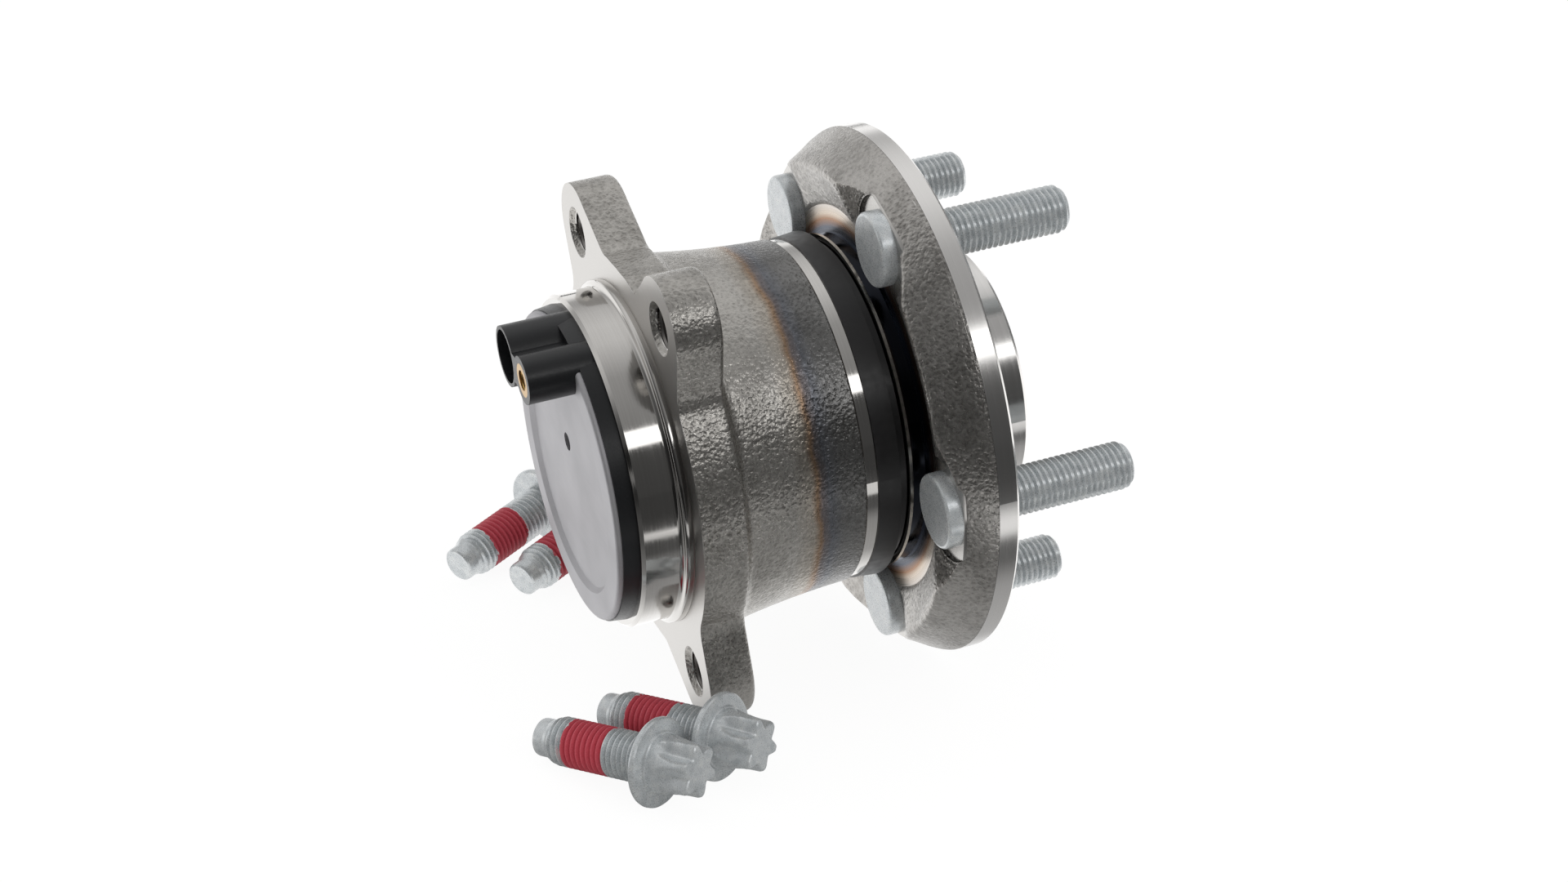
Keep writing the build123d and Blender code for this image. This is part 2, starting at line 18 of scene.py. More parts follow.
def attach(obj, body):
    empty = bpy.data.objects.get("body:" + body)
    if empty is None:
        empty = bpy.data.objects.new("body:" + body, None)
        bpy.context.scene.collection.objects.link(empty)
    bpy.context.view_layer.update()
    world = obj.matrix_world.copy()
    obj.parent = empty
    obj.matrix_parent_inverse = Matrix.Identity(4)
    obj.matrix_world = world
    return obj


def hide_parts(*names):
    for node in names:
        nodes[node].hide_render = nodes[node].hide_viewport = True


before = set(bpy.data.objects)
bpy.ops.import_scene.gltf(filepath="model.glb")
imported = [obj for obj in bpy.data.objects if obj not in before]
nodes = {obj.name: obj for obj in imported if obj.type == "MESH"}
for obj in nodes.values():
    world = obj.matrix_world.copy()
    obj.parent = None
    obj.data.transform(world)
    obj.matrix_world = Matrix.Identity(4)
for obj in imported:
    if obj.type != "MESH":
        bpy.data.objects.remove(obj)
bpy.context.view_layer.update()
MM = 0.001

# %% Sizes of the solids that finishes and new pieces have to meet, in millimetres and degrees
FLANGE_RADIUS, RIM_BAND = 67.2, 5.3
EAR_REACH, EAR_FACE, EAR_HOLE = 58.6, -72.2, (31.3, 0.0, 46.2)
STUD_COUNT, STUD_CIRCLE, STUD_CLOCK = 5, 54.0, 23.9
STUD_STEP = 360 / STUD_COUNT
THREAD_CREST, THREAD_ROOT, THREAD_PITCH = 5.9, 5.0, 1.5
print("studs", STUD_COUNT, "on a circle of", 2 * STUD_CIRCLE, "mm")

# %% [markdown]
# ## Camera
# The photograph looks at the hub from the car's side and a little above, through a long lens. A camera could be
# placed by eye, and then each piece would be nudged to match. Here the camera's place and its three axes were
# fitted once to three circles of known size, the flange, the pilot and the cap. A piece that is right in the
# frame is then right in the picture too.

# %% Camera
camera_data = bpy.data.cameras.new("camera")
camera_data.lens, camera_data.sensor_width = 65.625, 36.0
camera_data.clip_start = 0.01
camera = bpy.data.objects.new("camera", camera_data)
bpy.context.scene.collection.objects.link(camera)
camera_place = Vector((597.5, -236.8, 324.8)) * MM
camera_right = Vector((0.3567, 0.9314, -0.0721)).normalized()
camera_back = Vector((0.8378, -0.2848, 0.4656)).normalized()
camera_up = camera_back.cross(camera_right)
camera_turn = Matrix((camera_right, camera_up, camera_back)).transposed().to_4x4()
camera.matrix_world = Matrix.Translation(camera_place) @ camera_turn
bpy.context.scene.camera = camera
bpy.context.scene.view_settings.view_transform = "Standard"
print("camera at", [round(c, 3) for c in camera.matrix_world.translation])

# %% [markdown]
# ## Helpers for materials
# A material is a small graph of nodes. Building one repeats three moves: make a node, change its settings, and
# fill or join its inputs, so one function does all three. Colours are written as the hex codes that a painting
# program shows. Shaders add up light and need linear values, so a second function converts each code.

# %% Add a node, convert a colour, fill a ramp
def set_inputs(tree, node, inputs):
    """Fills a node's inputs. Each is a number, a colour, or the output of another node."""
    for name, value in inputs.items():
        if isinstance(value, bpy.types.NodeSocket):
            tree.links.new(value, node.inputs[name])
        else:
            node.inputs[name].default_value = value


def add_node(tree, kind, inputs=None, **settings):
    """Adds one shader node with its settings and its inputs."""
    node = tree.nodes.new(kind)
    for name, value in settings.items():
        setattr(node, name, value)
    set_inputs(tree, node, inputs or {})
    return node


def colour(hex_code, alpha=1.0):
    """Turns an sRGB hex value to the linear colour that shaders take."""
    parts = [int(hex_code[i:i + 2], 16) / 255 for i in (0, 2, 4)]
    linear = [c / 12.92 if c <= 0.04045 else ((c + 0.055) / 1.055) ** 2.4 for c in parts]
    return (*linear, alpha)


def fill_ramp(ramp, stops):
    """Sets the stops of a colour ramp from (place, colour) pairs in order."""
    ramp.elements[0].position, ramp.elements[1].position = stops[0][0], stops[-1][0]
    for spot, _ in stops[1:-1]:
        ramp.elements.new(spot)
    for element, (_, tone) in zip(ramp.elements, stops):
        element.color = tone


def grey_stops(greys, full):
    """Stops for a ramp from (place, grey) pairs, where full is the place at the ramp's end."""
    return [(spot / full, (grey, grey, grey, 1.0)) for spot, grey in greys]


print("hex 808080 is", round(colour("808080")[0], 3), "in linear light")

# %% [markdown]
# ## The studio
# Turned steel is a mirror, so what stands round it draws it, more than its own colour does. The hub stands in a
# white sweep: pale behind it and overhead, and dark in front, where the open room is. Lamps and cards could be
# set up for each reflection. One colour ramp that runs round the spindle is simpler, because it is a single list
# of greys, and each grey can be matched to a streak on the pilot.
#
# Light Path tells the rays apart. The camera sees plain white, matt surfaces get an even light at which a colour
# renders about as it is written, and mirrors see the ramp. The front of the studio is dimmed a second time on
# the car's side, because there the cap and the pilot's face look into the open room.

# %% World: a ramp round the spindle axis
def dim_front(tree, spot, forward, sideways, most):
    """The studio's level for a mirror: 1, and less towards +X and -Y, by most where both are furthest."""
    front = add_node(tree, "ShaderNodeMapRange", {
        "Value": spot.outputs["X"], "From Min": forward[0], "From Max": forward[1]}).outputs["Result"]
    car_side = add_node(tree, "ShaderNodeMapRange", {
        "Value": spot.outputs["Y"], "From Min": sideways[0], "From Max": sideways[1],
        "To Max": most}).outputs["Result"]
    shade = add_node(tree, "ShaderNodeMath", {0: front, 1: car_side}, operation="MULTIPLY").outputs[0]
    return add_node(tree, "ShaderNodeMath", {0: 1.0, 1: shade}, operation="SUBTRACT").outputs[0]


world = bpy.data.worlds.new("sweep")
bpy.context.scene.world = world
world.use_nodes = True
tree = world.node_tree
tree.nodes.clear()
direction = add_node(tree, "ShaderNodeTexCoord").outputs["Generated"]
axes = add_node(tree, "ShaderNodeSeparateXYZ", {0: direction})
angle = add_node(tree, "ShaderNodeMath", {0: axes.outputs["Z"], 1: axes.outputs["X"]},
                 operation="ARCTAN2").outputs[0]
half_turn = add_node(tree, "ShaderNodeMapRange", {
    "Value": angle, "From Min": 0.0, "From Max": math.pi}).outputs["Result"]
sweep = add_node(tree, "ShaderNodeValToRGB", {"Fac": half_turn})
# Degrees up from the front, over the top, to the back; what is lower than the front counts as 0
sweep_greys = [(0, 0.07), (28, 0.08), (46, 0.30), (62, 0.36), (80, 0.42), (95, 0.62), (108, 0.78),
               (125, 0.82), (142, 0.70), (156, 0.50), (163, 0.52), (171, 1.10), (180, 1.22)]
fill_ramp(sweep.color_ramp, grey_stops(sweep_greys, 180))
print("sweep", len(sweep_greys), "greys")

# %% World: who sees what
even_light, plain_white = 0.85, 1.0
sweep_level = dim_front(tree, axes, (-0.4, 0.1), (0.1, -0.45), 0.7)
rays = add_node(tree, "ShaderNodeLightPath")
sky = add_node(tree, "ShaderNodeBackground", {"Color": sweep.outputs["Color"], "Strength": sweep_level})
even = add_node(tree, "ShaderNodeBackground", {"Color": (1, 1, 1, 1), "Strength": even_light})
white = add_node(tree, "ShaderNodeBackground", {"Color": (1, 1, 1, 1), "Strength": plain_white})
seen = add_node(tree, "ShaderNodeMixShader", {
    0: rays.outputs["Is Diffuse Ray"], 1: sky.outputs[0], 2: even.outputs[0]})
seen = add_node(tree, "ShaderNodeMixShader", {
    0: rays.outputs["Is Camera Ray"], 1: seen.outputs[0], 2: white.outputs[0]})
add_node(tree, "ShaderNodeOutputWorld", {"Surface": seen.outputs[0]})
print("world nodes", len(tree.nodes))

# %% [markdown]
# ## The floor
# The hub leans on its two lower ears and on the rim of the wheel flange, so in the hub's own frame the floor
# slopes. The slope could be typed in, but worked out from the two contacts it stays true if a size changes. A
# plane would do. A large circle is used because it has no corner that could turn up in a reflection.

# %% Floor: where it lies
floor_slope = math.atan2(FLANGE_RADIUS - EAR_REACH, -EAR_FACE - RIM_BAND)
floor_plane = (Matrix.Translation(Vector((0, EAR_FACE, -EAR_REACH)) * MM)
               @ Matrix.Rotation(-floor_slope, 4, "X"))
floor_gap, floor_size = 0.1, 3.0
floor_mesh = bpy.data.meshes.new("floor")
bm = bmesh.new()
bmesh.ops.create_circle(bm, cap_ends=True, segments=64, radius=floor_size)
bm.transform(floor_plane @ Matrix.Translation((0, 0, -floor_gap * MM)))
bm.to_mesh(floor_mesh)
bm.free()
floor = bpy.data.objects.new("floor", floor_mesh)
bpy.context.scene.collection.objects.link(floor)
print("floor slope", round(math.degrees(floor_slope), 2), "degrees")

# %% Floor: white paper, which is matt and shows the hub's soft shadow
floor_paper = bpy.data.materials.new("white paper sweep")
floor_paper.use_nodes = True
tree = floor_paper.node_tree
tree.nodes.clear()
# For the camera nine tenths of it glows white, and the tenth that is lit carries the shadow
glow_share, glow_level = 0.9, 1.04
paper = add_node(tree, "ShaderNodeBsdfDiffuse", {"Color": colour("f4f4f2")})
glow = add_node(tree, "ShaderNodeEmission", {"Color": (1, 1, 1, 1), "Strength": glow_level})
rays = add_node(tree, "ShaderNodeLightPath")
share = add_node(tree, "ShaderNodeMath", {0: rays.outputs["Is Camera Ray"], 1: glow_share},
                 operation="MULTIPLY")
lit = add_node(tree, "ShaderNodeMixShader", {0: share.outputs[0], 1: paper.outputs[0], 2: glow.outputs[0]})
print("paper glows for the camera by", glow_share)

# %% Floor: what metal sees of it
spot = add_node(tree, "ShaderNodeSeparateXYZ", {0: add_node(tree, "ShaderNodeTexCoord").outputs["Object"]})
strip_reach = 250
across = add_node(tree, "ShaderNodeMapRange", {
    "Value": spot.outputs["X"], "From Min": 0.0, "From Max": strip_reach * MM}).outputs["Result"]
strip = add_node(tree, "ShaderNodeValToRGB", {"Fac": across})
# Millimetres in front of the spindle: white under the hub, dark further out, and one white strip from 126 to
# 166, which gives the ring its lower bright bar
strip_greys = [(0, 1.25), (14, 1.20), (28, 0.78), (38, 0.48), (75, 0.36), (95, 0.12), (122, 0.10), (126, 0.95),
               (166, 0.95), (170, 0.08), (250, 0.06)]
fill_ramp(strip.color_ramp, grey_stops(strip_greys, strip_reach))
floor_level = dim_front(tree, spot, (0.02, 0.06), (-0.05, -0.11), 0.75)
mirrored = add_node(tree, "ShaderNodeEmission", {"Color": strip.outputs["Color"], "Strength": floor_level})
floor_seen = add_node(tree, "ShaderNodeMixShader", {
    0: rays.outputs["Is Glossy Ray"], 1: lit.outputs[0], 2: mirrored.outputs[0]})
add_node(tree, "ShaderNodeOutputMaterial", {"Surface": floor_seen.outputs[0]})
floor_mesh.materials.append(floor_paper)
print("floor strip", len(strip_greys), "greys")

# %% [markdown]
# ## The key light
# One long soft box hangs high in front of the hub. The world alone would light the hub evenly, which looks flat.
# A rectangular area lamp has the straight soft edge of a real soft box, so rims and ears get a bright bar on
# their upper side. It is weak, because the world already gives most of the light.

# %% Key light: its size in metres, its power in watts, its direction in degrees
key_wide, key_tall, key_power = 1.5, 0.30, 3.0
key_heading, key_height, key_distance = math.radians(19), math.radians(35), 1.6
key_data = bpy.data.lights.new("key box", "AREA")
key_data.shape = "RECTANGLE"
key_data.size, key_data.size_y = key_wide, key_tall
key_data.energy = key_power
key_box = bpy.data.objects.new("key box", key_data)
bpy.context.scene.collection.objects.link(key_box)
towards = Vector((math.cos(key_height) * math.cos(key_heading), math.cos(key_height) * math.sin(key_heading),
                  math.sin(key_height)))
hub_middle = Vector((0, -0.04, 0))
key_box.location = hub_middle + towards * key_distance
key_box.rotation_euler = towards.to_track_quat("Z", "Y").to_euler()
print("key box at", [round(c, 2) for c in key_box.location])

# %% [markdown]
# ## Steel, forged and turned
# Ring and flange are forged, and their skin has been shot-blasted: warm grey, half matt, with a glint in each
# dent. Where they meet another part they are turned, and there the same steel is a soft mirror with grooves that
# run round the axis. Two materials and a seam between them could be used, but it is one piece of steel with one
# smooth surface. So one material holds both, and a mask in millimetres says where the lathe has been. All its
# patterns read Object coordinates in millimetres, so a number in them is a size on the real part.

# %% Where a point lies, in millimetres
ACROSS_SPINDLE = (1.0, 0.0, 1.0)
# A noise texture's grey hardly leaves this span, so this span is what gets stretched over a range of roughness
SPREAD = {"From Min": 0.3, "From Max": 0.7}


def point_in_mm(tree):
    """The shaded point in millimetres, in the frame that all pieces share."""
    where = add_node(tree, "ShaderNodeTexCoord").outputs["Object"]
    return add_node(tree, "ShaderNodeVectorMath", {0: where, 1: (1 / MM, 1 / MM, 1 / MM)},
                    operation="MULTIPLY").outputs[0]


def place_on_spindle(tree, point):
    """A point's radius from the spindle axis and its place along it."""
    flat = add_node(tree, "ShaderNodeVectorMath", {0: point, 1: ACROSS_SPINDLE}, operation="MULTIPLY").outputs[0]
    radius = add_node(tree, "ShaderNodeVectorMath", {0: flat}, operation="LENGTH").outputs["Value"]
    along = add_node(tree, "ShaderNodeSeparateXYZ", {0: point}).outputs["Y"]
    return radius, along


def distance_from_hole(tree, point, centre):
    """A point's distance from the axis of a hole or stud that runs along Y through centre."""
    off = add_node(tree, "ShaderNodeVectorMath", {0: point, 1: centre}, operation="SUBTRACT").outputs[0]
    off = add_node(tree, "ShaderNodeVectorMath", {0: off, 1: ACROSS_SPINDLE}, operation="MULTIPLY").outputs[0]
    return add_node(tree, "ShaderNodeVectorMath", {0: off}, operation="LENGTH").outputs["Value"]


def new_finish(name):
    """A new material with its tree and its shader."""
    material = bpy.data.materials.new(name)
    material.use_nodes = True
    print("made", name)
    return material, material.node_tree, material.node_tree.nodes["Principled BSDF"]


print("a point is read in units of", MM, "m")

# %% Turned steel: a bright grey mirror, drawn out round the axis by the grooves
TURNING_FEED = 0.35  # the real feed is near 0.1 mm, too fine to show, so the grooves are drawn coarser


def turned_grooves(tree, radius, along, feed):
    """Fine grooves round the axis, one tool feed apart in millimetres, as a grey value."""
    section = add_node(tree, "ShaderNodeCombineXYZ", {0: radius, 1: along}).outputs[0]
    return add_node(tree, "ShaderNodeTexNoise", {
        "Vector": section, "Scale": 1.0 / feed, "Detail": 2.0, "Roughness": 0.6}).outputs["Fac"]


def turned_steel(tree, radius, along):
    """Colour, roughness and height of steel as the lathe leaves it."""
    grooves = turned_grooves(tree, radius, along, TURNING_FEED)
    tone = add_node(tree, "ShaderNodeMix", {0: grooves, 6: colour("c0bdb9"), 7: colour("d2d0cd")},
                    data_type="RGBA").outputs[2]
    rough = add_node(tree, "ShaderNodeMapRange", {
        "Value": grooves, **SPREAD, "To Min": 0.07, "To Max": 0.13}).outputs["Result"]
    return tone, rough, grooves


print("grooves", TURNING_FEED, "mm apart")

# %% Forged skin: dents of the blasting shot, finer roughness between them, and a slow change of tone
def forged_skin(tree, point, dent, tones):
    """Colour, roughness and height of shot-blasted steel, from the width of a dent in millimetres.

    Smooth Voronoi cells are round hollows with soft walls, as shot leaves them. The noise that bends them keeps
    them from looking like a net.
    """
    slow_per_mm = 0.09
    bend = add_node(tree, "ShaderNodeTexNoise", {"Vector": point, "Scale": 1.2 / dent, "Detail": 1.0})
    bent = add_node(tree, "ShaderNodeVectorMath", {
        0: bend.outputs["Color"], 1: (dent, dent, dent), 2: point}, operation="MULTIPLY_ADD").outputs[0]
    dents = add_node(tree, "ShaderNodeTexVoronoi", {"Vector": bent, "Scale": 1.0 / dent, "Smoothness": 0.6},
                     feature="SMOOTH_F1").outputs["Distance"]
    fine = add_node(tree, "ShaderNodeTexNoise", {
        "Vector": point, "Scale": 1.6 / dent, "Detail": 1.0}).outputs["Fac"]
    height = add_node(tree, "ShaderNodeMath", {0: fine, 1: 0.5, 2: dents}, operation="MULTIPLY_ADD").outputs[0]
    slow = add_node(tree, "ShaderNodeTexNoise", {
        "Vector": point, "Scale": slow_per_mm, "Detail": 3.0, "Roughness": 0.6}).outputs["Fac"]
    mottle = add_node(tree, "ShaderNodeMath", {0: height, 1: 0.5, 2: slow}, operation="MULTIPLY_ADD").outputs[0]
    tone = add_node(tree, "ShaderNodeValToRGB", {"Fac": mottle})
    fill_ramp(tone.color_ramp, [(0.45, colour(tones[0])), (1.0, colour(tones[1]))])
    rough = add_node(tree, "ShaderNodeMapRange", {
        "Value": fine, **SPREAD, "To Min": 0.24, "To Max": 0.38}).outputs["Result"]
    return tone.outputs["Color"], rough, height


# The real dents are about 0.3 mm wide. In the render that would be a flat grey, so they are drawn about 1 mm wide.
RING_DENT, FLANGE_DENT = 1.0, 1.1
print("dents", RING_DENT, "and", FLANGE_DENT, "mm wide")

# %% Join the two
SKIN_METAL = 0.9  # a little of the scale is left on the forging, and it isn't metal


def forged_and_turned(tree, shader, mask, skin, turned, depths):
    """Forged skin where the mask is 0 and turned steel where it is 1.

    skin and turned are a colour, a roughness and a height each, and depths are the two heights in millimetres.
    """
    base = add_node(tree, "ShaderNodeMix", {0: mask, 6: skin[0], 7: turned[0]}, data_type="RGBA").outputs[2]
    rough = add_node(tree, "ShaderNodeMix", {0: mask, 2: skin[1], 3: turned[1]}).outputs[0]
    depth = add_node(tree, "ShaderNodeMapRange", {
        "Value": mask, "To Min": depths[0], "To Max": depths[1]}).outputs["Result"]
    relief = add_node(tree, "ShaderNodeMix", {0: mask, 2: skin[2], 3: turned[2]}).outputs[0]
    relief = add_node(tree, "ShaderNodeMath", {0: relief, 1: depth}, operation="MULTIPLY").outputs[0]
    bump = add_node(tree, "ShaderNodeBump", {"Height": relief, "Distance": MM}).outputs["Normal"]
    metal = add_node(tree, "ShaderNodeMapRange", {
        "Value": mask, "To Min": SKIN_METAL, "To Max": 1.0}).outputs["Result"]
    set_inputs(tree, shader, {"Metallic": metal, "Base Color": base, "Roughness": rough, "Normal": bump})


print("forged skin is metal by", SKIN_METAL)

# %% [markdown]
# ## Finish of the outer ring
# The ring is forged and then turned at its pilot, its ear faces, its nose and its bores. Near the nose it has
# been hardened by heat, and the heat leaves a band of straw and blue on the skin. The band could be painted on,
# but it follows the distance from the hot nose, so a colour ramp along the spindle draws it, and a noise moves
# its edge to and fro.

# %% Outer ring: where the lathe and the tap have been
ring_steel, tree, shader = new_finish("forged bearing steel, shot-blasted and turned")
point = point_in_mm(tree)
radius, along = place_on_spindle(tree, point)
front_from, nose_from, bore_within, hole_within = -72.1, -28.75, 40.0, 5.4
# All four ear holes are mirror images of one, so the point is folded into that one's quarter first
folded = add_node(tree, "ShaderNodeVectorMath", {0: point}, operation="ABSOLUTE").outputs[0]
hole_distance = distance_from_hole(tree, folded, EAR_HOLE)
mask = add_node(tree, "ShaderNodeMath", {0: along, 1: front_from}, operation="LESS_THAN").outputs[0]
for measure, limit, test in ((along, nose_from, "GREATER_THAN"), (radius, bore_within, "LESS_THAN"),
                             (hole_distance, hole_within, "LESS_THAN")):
    cut = add_node(tree, "ShaderNodeMath", {0: measure, 1: limit}, operation=test).outputs[0]
    mask = add_node(tree, "ShaderNodeMath", {0: mask, 1: cut}, operation="MAXIMUM").outputs[0]
print("turned beyond", front_from, "and", nose_from, "mm along the spindle")

# %% Outer ring: forged skin with the band of heat tint
tint_and_shade_from, tint_and_shade_to, tint_wander, tint_strength = -46.0, -26.0, 3.0, 0.85
skin_colour, skin_rough, skin_height = forged_skin(tree, point, RING_DENT, ("86837e", "bbb8b3"))
wander = add_node(tree, "ShaderNodeTexNoise", {"Vector": point, "Scale": 0.12, "Detail": 3.0}).outputs["Fac"]
tint_place = add_node(tree, "ShaderNodeMath", {0: wander, 1: tint_wander, 2: along},
                      operation="MULTIPLY_ADD").outputs[0]
tint_and_shade_share = add_node(tree, "ShaderNodeMapRange", {
    "Value": tint_place, "From Min": tint_and_shade_from, "From Max": tint_and_shade_to}).outputs["Result"]
tint_and_shade_ramp = add_node(tree, "ShaderNodeValToRGB", {"Fac": tint_and_shade_share})
fill_ramp(tint_and_shade_ramp.color_ramp, [(0.0, colour("ffffff")), (0.22, colour("f6efe6")), (0.31, colour("d3a982")),
                            (0.37, colour("92888f")), (0.46, colour("828a9c")), (0.62, colour("93969c")),
                            (1.0, colour("a6a8ab"))])
tinted = add_node(tree, "ShaderNodeMix", {0: tint_strength, 6: skin_colour, 7: tint_and_shade_ramp.outputs["Color"]},
                  data_type="RGBA", blend_type="MULTIPLY").outputs[2]
print("tint from", tint_and_shade_from, "to", tint_and_shade_to, "mm along the spindle")

# %% Outer ring: turned steel, rougher on the ear faces and down the tapped holes, and darker down the holes as painted shade
face_middle, face_half, face_rougher = -72.05, 0.3, 0.24
drilled_within, drilled_rougher = 5.19, 0.25
steel_tone, steel_rough, grooves = turned_steel(tree, radius, along)
in_hole = add_node(tree, "ShaderNodeMath", {0: hole_distance, 1: drilled_within}, operation="LESS_THAN").outputs[0]
# Painted shade: the steel inside the tapped holes gets a darker tone, as if shaded by the hole
steel_tone = add_node(tree, "ShaderNodeMix", {0: in_hole, 6: steel_tone, 7: colour("85827f")},
                      data_type="RGBA").outputs[2]
on_face = add_node(tree, "ShaderNodeMath", {0: along, 1: face_middle, 2: face_half},
                   operation="COMPARE").outputs[0]
for where, rougher in ((on_face, face_rougher), (in_hole, drilled_rougher)):
    steel_rough = add_node(tree, "ShaderNodeMath", {0: where, 1: rougher, 2: steel_rough},
                           operation="MULTIPLY_ADD").outputs[0]
forged_and_turned(tree, shader, mask, (tinted, skin_rough, skin_height), (steel_tone, steel_rough, grooves),
                  (0.17, 0.005))
print("outer ring nodes", len(tree.nodes))

# %% [markdown]
# ## Finish of the wheel flange
# The flange is the same steel with slightly coarser dents. It is turned on the wheel's face and the rim, in a
# round seat behind each stud, and near the seal, where hardening has tinted it too and painted shade darkens the
# face inside the flinger. Five seats could be five masks drawn by hand. A loop measures the distance from each
# stud's axis instead, so the seats sit exactly where the studs do. The rim gets its own paler tone, because it
# is turned last and most finely.

# %% Wheel flange: where the lathe has been
FLANGE_TONES = ("84817d", "bdbab6")
FLANGE_DEPTH = 0.16
flange_steel, tree, shader = new_finish("forged flange steel, shot-blasted and turned")
point = point_in_mm(tree)
radius, along = place_on_spindle(tree, point)
inner_within, seat_within = 49.2, 12.95
rim = add_node(tree, "ShaderNodeMath", {0: along, 1: -RIM_BAND}, operation="GREATER_THAN").outputs[0]
inner = add_node(tree, "ShaderNodeMath", {0: radius, 1: inner_within}, operation="LESS_THAN").outputs[0]
mask = add_node(tree, "ShaderNodeMath", {0: rim, 1: inner}, operation="MAXIMUM").outputs[0]
for k in range(STUD_COUNT):
    turn = math.radians(STUD_CLOCK + STUD_STEP * k)
    stud_axis = (STUD_CIRCLE * math.sin(turn), 0.0, STUD_CIRCLE * math.cos(turn))
    stud_distance = distance_from_hole(tree, point, stud_axis)
    seat = add_node(tree, "ShaderNodeMath", {0: stud_distance, 1: seat_within}, operation="LESS_THAN").outputs[0]
    mask = add_node(tree, "ShaderNodeMath", {0: mask, 1: seat}, operation="MAXIMUM").outputs[0]
print("stud seats", STUD_COUNT, "of radius", seat_within, "mm")

# %% Wheel flange: turned steel, paler at the rim, heat tinted and darkened with painted shade near the seal
tint_and_shade_from, tint_and_shade_to, tint_and_shade_behind, rim_rougher = 38.0, 50.0, -12.0, 0.09
face_middle, face_half, face_rougher = -12.6, 0.2, 0.18
tint_and_shade_share = add_node(tree, "ShaderNodeMapRange", {
    "Value": radius, "From Min": tint_and_shade_from, "From Max": tint_and_shade_to}).outputs["Result"]
tint_and_shade_ramp = add_node(tree, "ShaderNodeValToRGB", {"Fac": tint_and_shade_share})
# Painted shade: the two dark greys, out to about 43 mm, darken the face where the flinger shades it; the brown and
# straw beyond them are heat tint
fill_ramp(tint_and_shade_ramp.color_ramp, [(0.0, colour("4a4c52")), (0.45, colour("4f5563")), (0.62, colour("9a6f4c")),
                            (0.72, colour("c9b9a8")), (1.0, colour("d0cdc9"))])
steel_tone, steel_rough, grooves = turned_steel(tree, radius, along)
rim_tone = add_node(tree, "ShaderNodeMix", {0: grooves, 6: colour("dedcd9"), 7: colour("f0eeec")},
                    data_type="RGBA").outputs[2]
steel_tone = add_node(tree, "ShaderNodeMix", {0: rim, 6: steel_tone, 7: rim_tone}, data_type="RGBA").outputs[2]
behind = add_node(tree, "ShaderNodeMath", {0: along, 1: tint_and_shade_behind}, operation="LESS_THAN").outputs[0]
near_seal = add_node(tree, "ShaderNodeMath", {0: inner, 1: behind}, operation="MULTIPLY").outputs[0]
steel_tone = add_node(tree, "ShaderNodeMix", {0: near_seal, 6: steel_tone, 7: tint_and_shade_ramp.outputs["Color"]},
                      data_type="RGBA").outputs[2]
on_face = add_node(tree, "ShaderNodeMath", {0: along, 1: face_middle, 2: face_half},
                   operation="COMPARE").outputs[0]
for where, rougher in ((rim, rim_rougher), (on_face, face_rougher)):
    steel_rough = add_node(tree, "ShaderNodeMath", {0: where, 1: rougher, 2: steel_rough},
                           operation="MULTIPLY_ADD").outputs[0]
forged_and_turned(tree, shader, mask, forged_skin(tree, point, FLANGE_DENT, FLANGE_TONES),
                  (steel_tone, steel_rough, grooves), (FLANGE_DEPTH, 0.003))
print("wheel flange nodes", len(tree.nodes))

# %% Lobes between the studs: the flange's forged skin alone
lobe_skin, tree, shader = new_finish("forged flange steel, shot-blasted")
skin_colour, skin_rough, skin_height = forged_skin(tree, point_in_mm(tree), FLANGE_DENT, FLANGE_TONES)
relief = add_node(tree, "ShaderNodeMath", {0: skin_height, 1: FLANGE_DEPTH}, operation="MULTIPLY").outputs[0]
bump = add_node(tree, "ShaderNodeBump", {"Height": relief, "Distance": MM}).outputs["Normal"]
set_inputs(tree, shader, {"Metallic": SKIN_METAL, "Base Color": skin_colour, "Roughness": skin_rough,
                          "Normal": bump})
print("lobe skin nodes", len(tree.nodes))

# %% [markdown]
# ## Drawn sheet steel and ground bearing steel
# Seal case, flinger and encoder carrier are drawn from bright sheet, and the die leaves faint rings on them.
# Balls and inner ring are ground, which makes the rings so fine that only a slight change of gloss is left. Both
# could be plain grey metals, but then they would look alike. The same groove pattern at two spacings and two
# ranges of roughness tells them apart.

# %% Drawn sheet steel: bright, with soft rings
die_mark = 0.5  # the real marks are near 0.2 mm apart, and are drawn coarser to show
sheet_steel, tree, shader = new_finish("drawn sheet steel")
grooves = turned_grooves(tree, *place_on_spindle(tree, point_in_mm(tree)), die_mark)
sheet_rough = add_node(tree, "ShaderNodeMapRange", {
    "Value": grooves, **SPREAD, "To Min": 0.10, "To Max": 0.18}).outputs["Result"]
sheet_tone = add_node(tree, "ShaderNodeMix", {0: grooves, 6: colour("c2bfba"), 7: colour("dad7d2")},
                      data_type="RGBA").outputs[2]
set_inputs(tree, shader, {"Metallic": 1.0, "Base Color": sheet_tone, "Roughness": sheet_rough})

# %% Ground bearing steel: nearly a mirror
grinding_mark = 0.2  # real grinding marks are near 0.01 mm, and are drawn coarser to show at all
polished_steel, tree, shader = new_finish("ground bearing steel")
grooves = turned_grooves(tree, *place_on_spindle(tree, point_in_mm(tree)), grinding_mark)
ground_rough = add_node(tree, "ShaderNodeMapRange", {
    "Value": grooves, **SPREAD, "To Min": 0.05, "To Max": 0.10}).outputs["Result"]
set_inputs(tree, shader, {"Metallic": 1.0, "Base Color": colour("cfcfd0"), "Roughness": ground_rough})

# %% [markdown]
# ## The cap's cover plate
# The cover is pickled sheet steel: matt, pale grey and cloudy, with streaks in the direction of rolling. It
# could be a rough metal with even noise. Stretching the noise along X by squeezing that coordinate gives the
# streaks, and adding a large soft noise gives the clouds. It is only partly metal, because pickling leaves a
# thin dull layer that hides some of the reflections.

